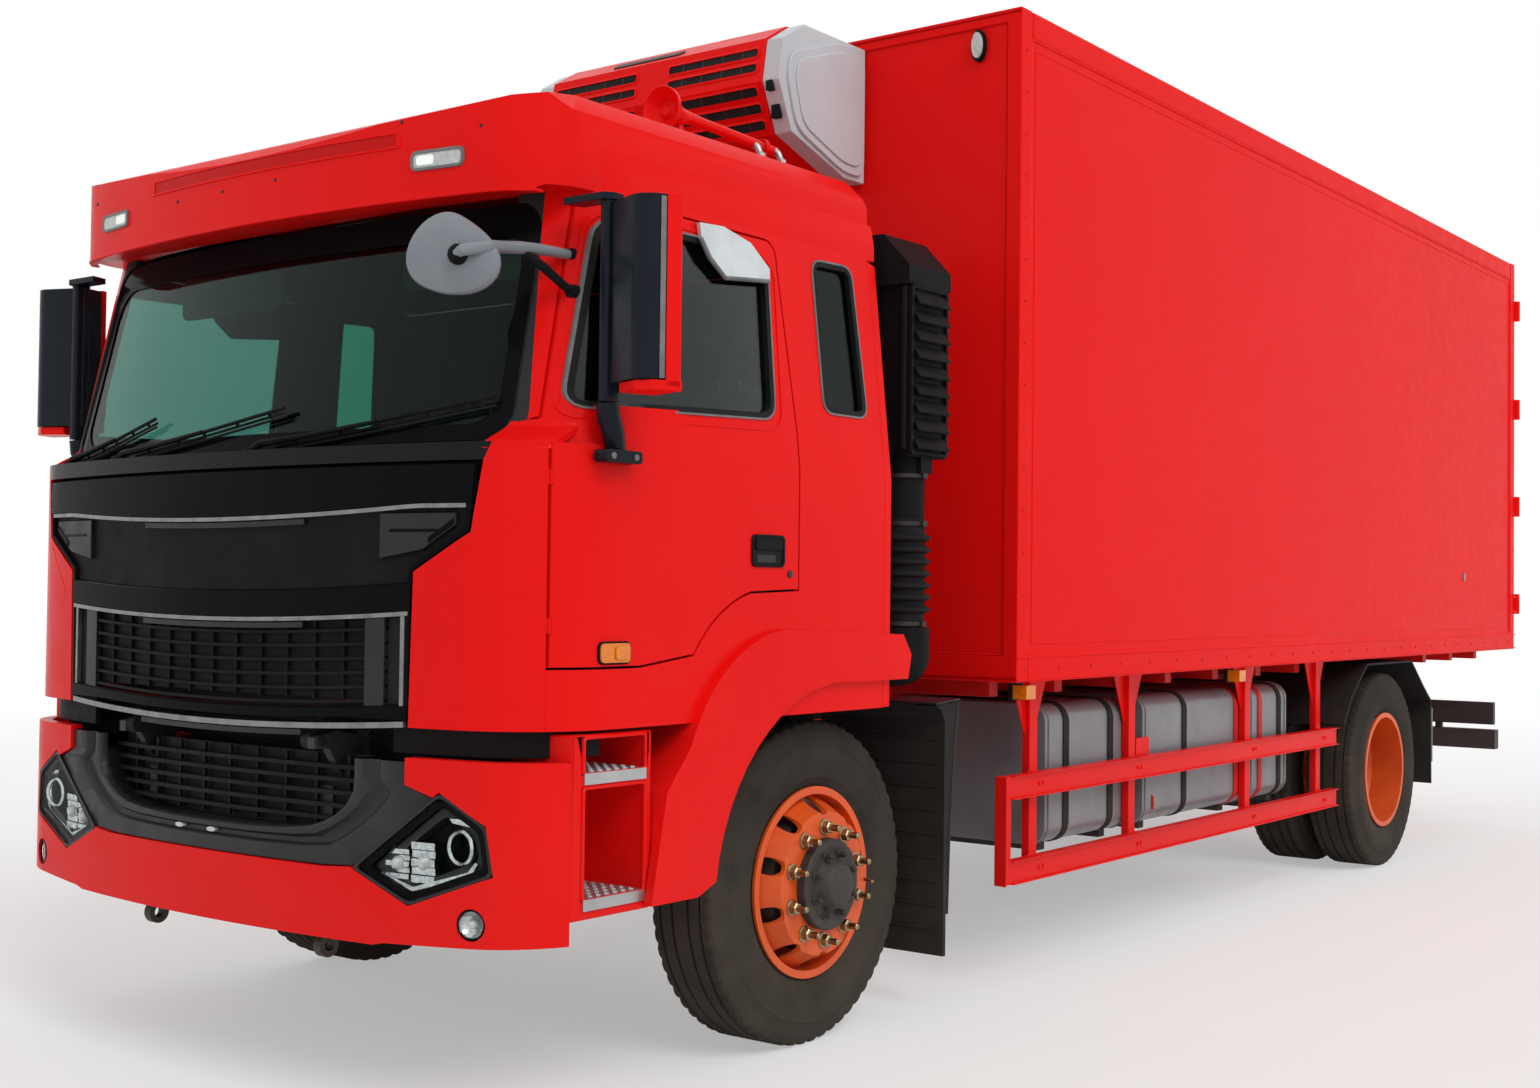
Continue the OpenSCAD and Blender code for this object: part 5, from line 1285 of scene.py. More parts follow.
def buildWheels():
    for end in ("front", "rear"):
        track, y, bodies = wheelTable[end]
        for side, body in ((1, bodies[0]), (-1, bodies[1])):
            name = end + ("_left" if side > 0 else "_right")
            bm = bmesh.new()
            addTyre(bm, side * track, y)
            if end == "rear":
                addTyre(bm, side * (track - wheelTable["gap"]), y)
            tyre = piece("tyre_tread_" + name, bm, body, tyreRubber, 0.0, angle=24)
            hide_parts(("tyre_" if end == "front" else "tyres_") + name)
            bm = bmesh.new()
            hub = (0.0, y, axleZ)
            if end == "front":
                addLathe(bm, [(0.1418, 1.1605), (0.1418, 1.188), (0.138, 1.1930), (0.118, 1.1945),
                              (0.112, 1.1915), (0.084, 1.1920), (0.078, 1.200), (0.070, 1.222),
                              (0.062, 1.231), (0.040, 1.236), (0, 1.2375)], hub, "x", 48, 0)
                addNuts(bm, 1.1918, y, 8, 0.098, 0.010, 0.029, 0)
                addNuts(bm, 1.1602, y, wheelTable["nuts"], wheelTable["nutCircle"], 0.0205, 0.058,
                        1)
                addLathe(bm, [(0.120, 1.120), (0.205, 1.110), (0.212, 1.085), (0.212, 0.935),
                              (0.196, 0.930), (0.190, 0.945), (0.190, 1.08), (0.120, 1.095)], hub,
                         "x", 48, 0)
                addTube(bm, [(1.128, y + 0.255, axleZ - 0.02), (1.150, y + 0.252, axleZ - 0.02),
                             (1.172, y + 0.244, axleZ - 0.02), (1.184, y + 0.238, axleZ - 0.02)],
                        [0.006, 0.0055, 0.005, 0.005], 10, 1)
            else:
                addLathe(bm, [(0.1418, 0.962), (0.1418, 1.0425), (0.136, 1.0485), (0.090, 1.0505),
                              (0.084, 1.060), (0.070, 1.074), (0, 1.077)], hub, "x", 48, 0)
                addNuts(bm, 1.0495, y, 8, 0.112, 0.010, 0.029, 0)
                addNuts(bm, 0.9585, y, wheelTable["nuts"], wheelTable["nutCircle"], 0.0205, 0.058,
                        1)
            toSide(bm, side)
            piece("hub_cap_" + name, bm, body, [steelDark, brass], 0.001)
    print("wheels built")


def buildSteps():
    # bright tread plates with raised pips, and their folded lips
    bm = bmesh.new()
    step = {"x": (0.972, 1.202), "y": (-1.143, -0.899), "z": (0.6002, 0.9302)}
    x0, x1 = step["x"]
    y0, y1 = (v + axle for v in step["y"])
    for z in step["z"]:
        addBox(bm, x0, x1, y0, y1, z, z + 0.004)
        addBox(bm, x1 - 0.002, x1 + 0.004, y0, y1, z - 0.026, z + 0.004)
        for i in range(6):
            for j in range(7):
                spot = (x0 + 0.028 + 0.035 * i, y0 + 0.022 + 0.033 * j, z + 0.004)
                addLathe(bm, [(0.0105, -0.001), (0.0095, 0.004), (0.0055, 0.004),
                              (0.0045, 0.0005), (0, 0.0005)], spot, "z", 10)
    addMirror(bm)
    piece("step_treads", bm, "root", aluminium, 0.0)
    bm = bmesh.new()  # lips round the step openings
    for z0, z1 in ((0.600, 0.895), (0.930, 1.027)):
        line = roundRect(y0, y1, z0, z1, 0.012)
        addTube(bm, [(1.2005, u, v) for u, v in line], 0.0055, 6, closed=True)
    addMirror(bm)
    piece("step_lips", bm, "root", red, 0.0)


def buildIntake():
    bm = bmesh.new()
    box = {"x": 1.205, "y": (0.405, 0.612), "z": (1.885, 2.425), "fins": 9}
    y0, y1 = (v + axle for v in box["y"])
    z0, z1 = box["z"]
    x = box["x"]
    addLoop(bm, roundRect(y0 - 0.012, y1 + 0.010, z0 - 0.012, z1 + 0.012, 0.015),
            roundRect(y0 + 0.004, y1 - 0.004, z0, z1, 0.010), "x", x - 0.004, x + 0.010)
    pitch = (z1 - z0) / box["fins"]
    for k in range(box["fins"]):
        z = z0 + pitch * (k + 0.5)
        addPrism(bm, [(x - 0.002, z + 0.020), (x + 0.003, z + 0.022), (x + 0.030, z - 0.018),
                      (x + 0.028, z - 0.024), (x + 0.022, z - 0.022)], "y", y0 + 0.006, y1 - 0.006)
    for yc in (0.385, 0.630):  # corner beads and the cap's lower seam
        addTube(bm, [(1.190, axle + yc, 1.89), (1.190, axle + yc, 2.43)], 0.010, 8)
    hood = roundRect(axle + 0.372, axle + 0.638, 1.03, 1.216, 0.02)
    addPrism(bm, [(v, u) for u, v in hood], "z", 2.436, 2.452)
    addBox(bm, 1.120, 1.200, axle + 0.48, axle + 0.55, 1.815, 1.868)
    piece("intake_louvres", bm, "root", plasticBlack, 0.0015)
    bm = bmesh.new()  # folded boot and its clamps
    centre = (1.110, axle + 0.505, 0.0)
    profile = [(0.0755, 1.302)]
    for k in range(7):
        z = 1.345 + 0.040 * k
        profile += [(0.078, z), (0.096, z + 0.010), (0.096, z + 0.020), (0.078, z + 0.030)]
    addLathe(bm, profile + [(0.078, 1.66), (0.0755, 1.662)], centre, "z", 40)
    for z in (1.305, 1.640, 1.80):
        addLathe(bm, [(0.0762, z), (0.0835, z), (0.0835, z + 0.014), (0.0762, z + 0.014)], centre,
                 "z", 40, 1)
        addBox(bm, 1.186, 1.202, centre[1] - 0.012, centre[1] + 0.012, z - 0.002, z + 0.016, 1)
    piece("intake_boot", bm, "root", [rubber, steelDark], 0.0)


def buildHorn():
    bm = bmesh.new()
    hornShape = {"x": 0.905, "z": 2.862, "seat": 2.800, "feet": (-0.44, -0.02),
                 "unions": (-0.075, 0.035)}
    x, y, z = hornShape["x"], axle, hornShape["z"]
    seat = hornShape["seat"]
    bell = [(0, -0.506), (0.014, -0.508), (0.022, -0.500), (0.030, -0.497), (0.052, -0.512),
            (0.064, -0.524), (0.070, -0.529), (0.0718, -0.525), (0.070, -0.514), (0.052, -0.492),
            (0.036, -0.470), (0.026, -0.440), (0.020, -0.400), (0.017, -0.36)]
    addLathe(bm, bell, (x, y, z), "y", 48)
    addTube(bm, [(x, y - 0.365, z), (x, y - 0.25, z - 0.004), (x, y - 0.05, 2.850),
                 (x - 0.002, y + 0.045, 2.846)], [0.017, 0.0165, 0.016, 0.016], 16)
    for back in hornShape["feet"]:
        addBox(bm, x - 0.030, x + 0.030, y + back - 0.012, y + back + 0.012, seat - 0.004,
               seat + 0.002)
        addBox(bm, x - 0.008, x + 0.008, y + back - 0.010, y + back + 0.010, seat, seat + 0.050)
        addLathe(bm, [(0.020, -0.010), (0.022, -0.008), (0.022, 0.008), (0.020, 0.010)],
                 (x, y + back, 2.852), "y", 20)
    for back in hornShape["unions"]:
        addTube(bm, [(x + 0.004, y + back, 2.846), (x + 0.020, y + back, 2.834),
                     (x + 0.026, y + back + 0.004, 2.818), (x + 0.026, y + back + 0.010, seat)],
                [0.013, 0.011, 0.010, 0.012], 12, 1)
        addLathe(bm, [(0.0145, -0.006), (0.016, -0.004), (0.016, 0.008), (0.0145, 0.010)],
                 (x + 0.026, y + back + 0.010, 2.806), "z", 6, 1)
    horn = piece("horn_bell", bm, "cab", [red, steelBare], 0.001)
    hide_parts("roof_horn")


coverLine = [(0.605, 3.470), (0.480, 3.395), (0.455, 3.235), (0.535, 3.060), (0.870, 2.955)]


def coverSpot(z, depth=0.0):  # the cooling cover's front face at a height
    for (ya, za), (yb, zb) in zip(coverLine, coverLine[1:]):
        if zb <= z <= za:
            t = (za - z) / (za - zb)
            run = Vector((yb - ya, zb - za)).normalized()
            out = Vector((run.y, -run.x))  # points forward
            return (axle + ya + (yb - ya) * t + out.x * depth, z + out.y * depth)
    return (axle + coverLine[0][0], z)


def coverRing(bm, line, depth):
    return newRing(bm, [(x,) + coverSpot(z, depth) for x, z in line])


def buildCooling():
    bm = bmesh.new()
    slots = {"x": (0.080, 0.500), "z": (3.345, 3.288, 3.205, 3.150, 3.095), "high": 0.030,
             "rim": 0.007}
    rim, half = slots["rim"], slots["high"] / 2
    for side in (1, -1):
        xa, xb = sorted(side * x for x in slots["x"])
        for z in slots["z"]:
            outline = roundRect(xa, xb, z - half, z + half, 0.010)
            wide = roundRect(xa - rim, xb + rim, z - half - rim, z + half + rim, 0.015)
            # a black face inside each red lip: painted shade that stands in for the slot's open
            # depth
            bm.faces.new(coverRing(bm, outline, 0.0012)).material_index = 1
            stitch(bm, [coverRing(bm, line, d) for line, d in (
                (wide, -0.002), (wide, 0.0035), (outline, 0.006), (outline, -0.002))])
            for x in spread(xa + 0.07, xb - 0.07, 4):  # thin ribs behind each slot
                ribs = [(x - 0.003, z - 0.014), (x + 0.003, z - 0.014), (x + 0.003, z + 0.014),
                        (x - 0.003, z + 0.014)]
                bm.faces.new(coverRing(bm, ribs, 0.0028)).material_index = 2
    piece("cooling_slots", bm, "root", [red, rubber, steelDark], 0.0)
    bm = bmesh.new()
    plate = roundRect(-0.24, 0.10, 3.412, 3.436, 0.011)  # a bare plate where a name would be
    rings = [coverRing(bm, plate, d) for d in (-0.002, 0.005)]
    bm.faces.new(rings[1])
    stitch(bm, rings)
    for x in (-0.560, 0.560):  # latches on the cheeks
        for z, size in ((3.215, 0.018), (3.130, 0.024)):
            y, zz = coverSpot(z, 0.0)
            addBox(bm, x - size * 0.7, x + size * 0.7, y - 0.012, y + 0.012, zz - size,
                   zz + size, 1)
    piece("cooling_plate", bm, "root", [steelDark, plasticBlack], 0.0015)
    bm = bmesh.new()  # moulded white side housings
    face = roundCorners([(0.500, 3.255), (0.560, 3.075), (0.850, 2.972), (0.985, 2.972),
                         (0.985, 3.440), (0.830, 3.452), (0.640, 3.385), (0.520, 3.345)], 0.06, 6)
    cheek = {"x": (0.598, 0.612), "middle": (0.79, 3.2), "shrink": 0.86}
    x0, x1 = cheek["x"]
    midY, midZ = cheek["middle"]
    inner = [(axle + midY + (u - midY) * cheek["shrink"], midZ + (v - midZ) * cheek["shrink"])
             for u, v in face]
    for side in (1, -1):
        addPrism(bm, [(axle + u, v) for u, v in face], "x", side * x0, side * x1)
        addPrism(bm, inner, "x", side * (x1 - 0.001), side * (x1 + 0.007))
    piece("cooling_cheeks", bm, "root", unitWhite, 0.005, segments=3)


def buildBoxTrim():
    bm = bmesh.new()
    box = {"skin": 1.275, "panelY": (-1.840, 4.252), "panelZ": (1.200, 3.410), "front": -1.9205,
           "rail": 1.148, "rivets": 25, "postRivets": 15, "lampY": (1.128, 3.031), "lampZ": 1.062}
    skin = box["skin"]
    (y0, y1), (z0, z1) = box["panelY"], box["panelZ"]
    for x, inset, r in ((skin - 0.007, 0.0, 0.0052), (skin - 0.0075, 0.035, 0.003)):
        loop = roundRect(y0 + inset, y1 - inset, z0 + inset, z1 - inset, 0.008, 3)
        addTube(bm, [(x, u, v) for u, v in loop], r, 8, closed=True)
    for z in (1.188, 1.108):
        addTube(bm, [(skin + 0.0005, -1.915, z), (skin + 0.0005, 4.36, z)], 0.003, 6)
    for z in (1.115, 3.495):
        addTube(bm, [(-1.27, box["front"], z), (1.27, box["front"], z)], 0.004, 6)
    addMirror(bm)
    piece("box_edge_beads", bm, "root", redBox, 0.0)
    bm = bmesh.new()  # rivets along the bottom rail and the corner posts
    for y in spread(-1.86, 4.20, box["rivets"]):
        addLathe(bm, [(0.007, 0.0), (0.006, 0.003), (0, 0.0045)], (skin, y, box["rail"]), "x", 10)
    for z in spread(1.26, 3.36, box["postRivets"]):
        for y in (-1.88, 4.30):
            addLathe(bm, [(0.006, 0.0), (0.005, 0.0025), (0, 0.004)], (skin, y, z), "x", 10)
    addMirror(bm)
    piece("box_rivets", bm, "root", shadedFrameRed, 0.0)
    bm = bmesh.new()
    for y in box["lampY"]:  # lamps under the rail
        y, z = axle + y, box["lampZ"]
        addBox(bm, 1.205, 1.262, y - 0.034, y + 0.034, z - 0.025, z + 0.025, 0)
        addBox(bm, 1.190, 1.206, y - 0.040, y + 0.040, z - 0.031, z + 0.036, 1)
    # a flat round reflector, low enough for the open door's lock bar
    addLathe(bm, [(0.027, 0.0), (0.027, 0.003), (0.023, 0.0035), (0.022, 0.0045), (0, 0.0052)],
             (skin - 0.007, axle + 6.239, 1.537), "x", 28, 2)
    for wide, high, front, back, mat in ((0.030, 0.058, -1.936, -1.9195, 1),
                                         (0.022, 0.047, -1.945, -1.934, 3)):  # oval marker
        addPrism(bm, oval(1.102, 3.393, wide, high, 32), "y", front, back, mat)
    addMirror(bm)
    piece("box_lamps", bm, "root", [amber, plasticBlack, brownLens, paleLens], 0.003)


def buildGuards():
    bm = bmesh.new()
    guard = {"x": 1.200, "y": (1.101, 4.364), "rails": (0.370, 0.675), "railHigh": 0.080,
             "posts": (1.324, 2.140, 3.322, 4.203), "bolts": (0.412, 0.718)}
    x = guard["x"]
    y0, y1 = (axle + y for y in guard["y"])
    for z in guard["rails"]:
        for low in (z, z + guard["railHigh"]):
            addBox(bm, x - 0.004, x + 0.014, y0, y1, low, low + 0.005)
    addBox(bm, x - 0.004, x + 0.014, axle + 1.041, axle + 1.046, 0.370, 0.760)
    for y in guard["posts"]:
        yc = axle + y
        for side in (-1, 1):  # gussets up to the body, and bolts at the rails
            addPrism(bm, [(yc + side * 0.030, 1.098), (yc + side * 0.130, 1.098),
                          (yc + side * 0.036, 0.900), (yc + side * 0.030, 0.900)], "x",
                     1.140, 1.146)
        for z in guard["bolts"]:
            for off in (-0.014, 0.014):
                addLathe(bm, [(0.009, 0.0), (0.009, 0.006), (0, 0.0065)],
                         (x, yc + off, z), "x", 6)
    addBox(bm, 1.150, 1.164, axle + 2.180, axle + 2.300, 0.760, 0.830)
    addMirror(bm)
    piece("guard_channels", bm, "root", red, 0.0012)


def buildTanks():
    bm = bmesh.new()
    tanks = {"ends": ((1.476, 2.169), (2.308, 3.381), (3.421, 3.873)), "x": (0.52, 1.13),
             "z": (0.465, 0.995), "round": 0.075, "grow": 0.006, "strapHalf": 0.022,
             "caps": (1.70, 2.60)}
    x0, x1 = tanks["x"]
    z0, z1 = tanks["z"]
    g = tanks["grow"]
    outer = roundRect(x0 - g, x1 + g, z0 - g, z1 + g, tanks["round"] + g, 7)
    inner = roundRect(x0 - 0.001, x1 + 0.001, z0 - 0.001, z1 + 0.001, tanks["round"], 7)
    (aFront, aRear), (bFront, bRear), (cFront, cRear) = tanks["ends"]
    straps = ((aRear - 0.16, 0), (aFront + 0.16, 0), (bFront + 0.40, 0), (bRear - 0.12, 1),
              (cFront + 0.12, 1), (cRear - 0.10, 0))
    for y, mat in straps:
        addLoop(bm, outer, inner, "y", axle + y - tanks["strapHalf"],
                axle + y + tanks["strapHalf"], mat)
    for ya, yb in tanks["ends"]:  # pressed end seams
        for y in (ya + 0.025, yb - 0.025):
            ring = roundRect(x0 - 0.002, x1 + 0.002, z0 - 0.002, z1 + 0.002, tanks["round"], 7)
            addTube(bm, [(u, axle + y, v) for u, v in ring], 0.004, 6, 2, closed=True)
    for y in tanks["caps"]:
        addLathe(bm, [(0.062, 0.0), (0.062, 0.014), (0.046, 0.018), (0.046, 0.040), (0.040, 0.046),
                      (0, 0.047)], (0.93, axle + y, 0.990), "z", 28, 0)
    addTube(bm, [(0.70, axle + 1.60, 0.99), (0.70, axle + 1.60, 1.03), (0.60, axle + 1.62, 1.05),
                 (0.47, axle + 1.66, 1.04)], 0.009, 8, 0)
    addTube(bm, [(1.125, axle + 2.4, 0.58), (1.134, axle + 2.4, 0.57), (1.134, axle + 2.4, 0.52)],
            0.006, 8, 1)
    piece("tank_straps", bm, "root", [rubber, shadedFrameRed, tankGrey], 0.001)


def buildFlaps():
    bm = bmesh.new()
    flap = {"y": 0.62, "outer": 1.2145, "low": 0.330, "ribs": 9}
    y, low, outer = axle + flap["y"], flap["low"], flap["outer"]
    wedge = [(y - 0.055, 1.036), (y + 0.085, 1.046), (y + 0.060, 0.900), (y + 0.036, 0.620),
             (y + 0.024, low), (y + 0.0165, low), (y + 0.0165, 1.00)]
    addPrism(bm, wedge, "x", 1.120, outer, 0)
    addPrism(bm, [(y - 0.062, 1.040), (y + 0.092, 1.050), (y + 0.092, 1.056), (y - 0.062, 1.046)],
             "x", 1.00, 1.219, 1)
    edge = [(y + 0.086, 1.046), (y + 0.061, 0.900), (y + 0.037, 0.620), (y + 0.025, low)]
    addTube(bm, [(outer, u, v) for u, v in edge], 0.0045, 6, 1)
    for z in spread(0.28, 0.92, flap["ribs"]):  # raised ribs across the flap
        addBox(bm, 0.74, 1.19, y - 0.004, y + 0.001, z - 0.004, z + 0.004, 0)
    addMirror(bm)
    piece("front_flaps", bm, "root", [rubber, plasticGrey], 0.0015)
    bm = bmesh.new()  # white strips and bolted plates on the rear flaps
    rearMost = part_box("mudguards")[1][1]
    addBox(bm, 1.226, 1.254, rearMost - 0.012, rearMost + 0.004, 0.500, 0.800, 1)
    for x in (0.75, 1.05):
        addBox(bm, x - 0.02, x + 0.02, rearMost - 0.002, rearMost + 0.006, 0.60, 0.66, 0)
    addMirror(bm)
    piece("rear_flap_strips", bm, "root", [plasticGrey, gasketPale], 0.001)


def buildRear():
    # door seals, lock bar guides, handles, lamps and the number plate holder
    doors = {"face": 4.332, "x": (0.012, 1.216), "z": (1.176, 3.424), "bars": (0.24, 0.86),
             "guides": (1.236, 1.876, 2.724, 3.364), "keepers": (1.195, 3.405), "handle": 1.661,
             "barRound": 0.0165, "barY": 4.3535}
    y, handle = doors["face"], doors["handle"]
    (x0, x1), (z0, z1) = doors["x"], doors["z"]
    for side, name in sideNames.items():
        bm = bmesh.new()
        inner, outer, frame, slim = (
            roundRect(x0 + g, x1 - g, z0 + g, z1 - g, 0.02, 4)
            for g in (0.020, 0.002, 0.030, 0.036))
        addLoop(bm, outer, inner, "y", y - 0.092, y - 0.086, 0)
        addLoop(bm, frame, slim, "y", y - 0.001, y + 0.003, 2)
        for x in doors["bars"]:
            for z in doors["guides"]:
                addBox(bm, x - 0.040, x + 0.040, y - 0.001, y + 0.0215, z - 0.029, z + 0.029, 1)
            addLathe(bm, [(doors["barRound"], 1.1925), (doors["barRound"], 3.408)],
                     (x, doors["barY"], 0), "z", 20, 1)
            addTube(bm, [(x - 0.188, y + 0.018, handle), (x - 0.150, y + 0.024, handle),
                         (x - 0.02, y + 0.024, handle), (x, y + 0.020, handle)], 0.010, 10, 1)
            for z in doors["keepers"]:
                addBox(bm, x - 0.030, x + 0.030, y - 0.001, y + 0.030, z - 0.012, z + 0.012, 1)
        toSide(bm, side)
        piece("cargo_fittings_" + name, bm, "cargo_door_" + name, [rubber, steelBare, redBox],
              0.0012)
    bm = bmesh.new()
    tail = {"x": (0.780, 1.140), "red": (0.640, 0.700), "amber": (0.704, 0.742), "edge": 0.010,
            "ribs": (0.90, 1.02), "roofX": (0.12, 1.16), "roofZ": (3.460, 3.484), "plateHalf": 0.24,
            "plateZ": (0.472, 0.588)}
    x0, x1 = tail["x"]
    for mat, tint in enumerate(("red", "amber")):
        addBox(bm, x0, x1, 4.338, 4.355, *tail[tint], mat)
    addBox(bm, x0 - tail["edge"], x1 + tail["edge"], 4.330, 4.343, 0.628, 0.754, 2)
    for x in tail["ribs"]:
        addBox(bm, x - 0.002, x + 0.002, 4.352, 4.357, 0.636, 0.746, 2)
    for x in tail["roofX"]:
        addBox(bm, x - 0.040, x + 0.040, 4.330, 4.344, *tail["roofZ"], 0)
    addMirror(bm)
    addBox(bm, -tail["plateHalf"], tail["plateHalf"], 4.342, 4.348, *tail["plateZ"], 3)
    piece("tail_lamps", bm, "root", [redLens, amber, plasticBlack, gasketPale], 0.002)


def buildCabin():
    # dashboard top, dials, console, column stalk, sun visors and the door linings
    dash = {"binnacle": (0.34, 0.80), "dials": (0.46, 0.57, 0.68), "dialSpot": (-0.857, 1.742),
            "vents": (-0.85, -0.42, 0.95), "ventZ": (1.64, 1.70), "visors": (-0.55, 0.55)}
    bm = bmesh.new()
    y = axle
    addPrism(bm, roundCorners([(y - 0.935, 1.755), (y - 0.885, 1.800), (y - 0.855, 1.800),
                               (y - 0.842, 1.700), (y - 0.880, 1.650)], 0.02), "x",
             *dash["binnacle"], 0)
    for x in dash["dials"]:
        addLathe(bm, [(0.048, 0.0), (0.048, 0.006), (0.043, 0.008), (0.042, 0.003), (0, 0.003)],
                 (x, y + dash["dialSpot"][0], dash["dialSpot"][1]), "y", 28, 1)
    low, top = dash["ventZ"]
    for x in dash["vents"]:
        addLoop(bm, roundRect(x - 0.09, x + 0.09, low, top, 0.012),
                roundRect(x - 0.08, x + 0.08, low + 0.01, top - 0.01, 0.008), "y", y - 0.905,
                y - 0.868, 1)
        for z in spread(low + 0.02, top - 0.02, 3):
            addBox(bm, x - 0.08, x + 0.08, y - 0.890, y - 0.874, z - 0.002, z + 0.002, 1)
    addLoop(bm, roundRect(-0.14, 0.14, 1.46, 1.62, 0.02), roundRect(-0.12, 0.12, 1.48, 1.60, 0.015),
            "y", y - 0.90, y - 0.872, 1)
    addTube(bm, [(0.10, y - 0.80, 1.28), (0.10, y - 0.78, 1.46), (0.10, y - 0.74, 1.58)],
            [0.016, 0.011, 0.011], 12, 0)
    addLathe(bm, [(0, 1.575), (0.022, 1.58), (0.028, 1.60), (0.022, 1.62), (0, 1.625)],
             (0.10, y - 0.738, 0), "z", 20, 1)
    for x in dash["visors"]:
        addPrism(bm, roundRect(x - 0.26, x + 0.26, 2.30, 2.43, 0.03), "y", y - 0.990, y - 0.978, 2)
    piece("dashboard_fittings", bm, "cab", [trimDark, plasticBlack, trimPale], 0.003)
    bm = bmesh.new()  # stitched rim cover, spokes' pad and stalks of the steering wheel
    wheelRim = {"spot": (0.560, y - 0.610, 1.800), "tilt": -38, "round": 0.215, "thick": 0.0165}
    ring = [(u, v, 0) for u, v in oval(0, 0, wheelRim["round"], wheelRim["round"], 64)]
    addTube(bm, ring, wheelRim["thick"], 14, 0, closed=True)
    pad = roundCorners([(-0.085, -0.06), (0.085, -0.06), (0.10, 0.035), (0.05, 0.075),
                        (-0.05, 0.075), (-0.10, 0.035)], 0.03, 5)
    addPrism(bm, pad, "z", 0.002, 0.018, 0)
    for a in (35, 145, 270):
        c, s = math.cos(math.radians(a)), math.sin(math.radians(a))
        addTube(bm, [(0.06 * c, 0.06 * s, 0.003), (0.14 * c, 0.14 * s, -0.004),
                     (0.21 * c, 0.21 * s, 0)], [0.021, 0.016, 0.014], 10, 1)
    turnAll(bm, Matrix.Translation(wheelRim["spot"])
            @ Matrix.Rotation(math.radians(wheelRim["tilt"]), 4, "X"))
    wheel = piece("steering_wheel_grip", bm, "steering_wheel", [trimDark, plasticBlack],
                  0.003)
    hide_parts("steering_wheel")
    for side, name in sideNames.items():
        bm = bmesh.new()
        panel = roundCorners([(-1.08, 1.30), (-0.30, 1.30), (-0.30, 1.80), (-1.10, 1.80)], 0.06, 5)
        x0, x1 = 1.146, 1.158
        addPrism(bm, [(u + y, v) for u, v in panel], "x", x0, x1, 0)
        rest = roundCorners([(-0.86, 1.50), (-0.36, 1.50), (-0.36, 1.56), (-0.86, 1.58)], 0.02, 4)
        addPrism(bm, [(u + y, v) for u, v in rest], "x", x0 - 0.05, x0 + 0.002, 1)
        toSide(bm, side)
        piece("door_lining_" + name, bm, "door_" + name, [trimPale, trimDark], 0.006)


seatShape = {"x": (0.620, -0.620), "wide": 0.232, "headHalf": 0.115, "back": 0.238,
             "voxel": 0.014, "swell": 0.012, "pressure": 4.0, "frames": 20}


def bakeModifiers(obj):
    graph = bpy.context.evaluated_depsgraph_get()
    graph.update()
    mesh = bpy.data.meshes.new_from_object(obj.evaluated_get(graph))
    obj.modifiers.clear()
    old, obj.data = obj.data, mesh
    bpy.data.meshes.remove(old)


def puff(obj):
    # remesh, blow up under cloth pressure, cap the swell and keep the result
    mod = obj.modifiers.new("cells", "REMESH")
    mod.mode, mod.voxel_size = "VOXEL", seatShape["voxel"]
    bakeModifiers(obj)
    before = [v.co.copy() for v in obj.data.vertices]
    cloth = obj.modifiers.new("swell", "CLOTH")
    cloth.settings.use_pressure = True
    cloth.settings.uniform_pressure_force = seatShape["pressure"]
    cloth.settings.effector_weights.gravity = 0.0
    cloth.point_cache.frame_start, cloth.point_cache.frame_end = 1, seatShape["frames"]
    for frameNumber in range(1, seatShape["frames"] + 1):
        scene.frame_set(frameNumber)
    bakeModifiers(obj)
    scene.frame_set(1)
    for v, old in zip(obj.data.vertices, before):
        move = v.co - old
        if move.length > seatShape["swell"]:
            v.co = old + move.normalized() * seatShape["swell"]
    obj.data.shade_smooth()


def addSeatPad(name, outline, x, half):
    bm = bmesh.new()
    addPrism(bm, roundCorners(outline, 0.045, 4), "x", x - half, x + half)
    pad = piece(name, bm, "cab", seatCloth)
    puff(pad)


def buildSeats():
    y = axle + seatShape["back"]
    half = seatShape["wide"]
    for side, x in zip((1, -1), seatShape["x"]):
        name = sideNames[side]
        addSeatPad("seat_cushion_" + name, [(y - 0.675, 1.412), (y - 0.190, 1.412),
                   (y - 0.190, 1.510), (y - 0.650, 1.518), (y - 0.680, 1.480)], x, half)
        addSeatPad("seat_backrest_" + name, [(y - 0.205, 1.548), (y - 0.120, 1.548),
                   (y - 0.028, 2.105), (y - 0.105, 2.105)], x, half)
        addSeatPad("headrest_" + name, [(y - 0.100, 2.132), (y - 0.026, 2.132),
                   (y - 0.012, 2.278), (y - 0.078, 2.278)], x, seatShape["headHalf"])
    bm = bmesh.new()  # seat boxes, piping and belt reels
    for x in seatShape["x"]:
        addPrism(bm, [(y - 0.636, 1.102), (y - 0.232, 1.102), (y - 0.232, 1.398),
                      (y - 0.636, 1.398)], "x", x - 0.188, x + 0.188, 0)
        for z in (1.18, 1.25, 1.32):
            addBox(bm, x - 0.19, x + 0.19, y - 0.638, y - 0.230, z - 0.004, z + 0.004, 1)
        for px in (-0.128, 0.128):
            addTube(bm, [(x + px, y - 0.668, 1.517), (x + px, y - 0.45, 1.520),
                         (x + px, y - 0.22, 1.515)], 0.0035, 6, 1)
            addTube(bm, [(x + px, y - 0.212, 1.58), (x + px, y - 0.165, 1.85),
                         (x + px, y - 0.118, 2.08)], 0.0035, 6, 1)
        for px in (-0.045, 0.045):
            addTube(bm, [(x + px, y - 0.062, 2.09), (x + px, y - 0.058, 2.14)], 0.006, 10, 2)
    frameWork = piece("seat_bases", bm, "cab", [trimDark, rubber, steelBare], 0.003)
    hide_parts("seats")
    print("seats built")


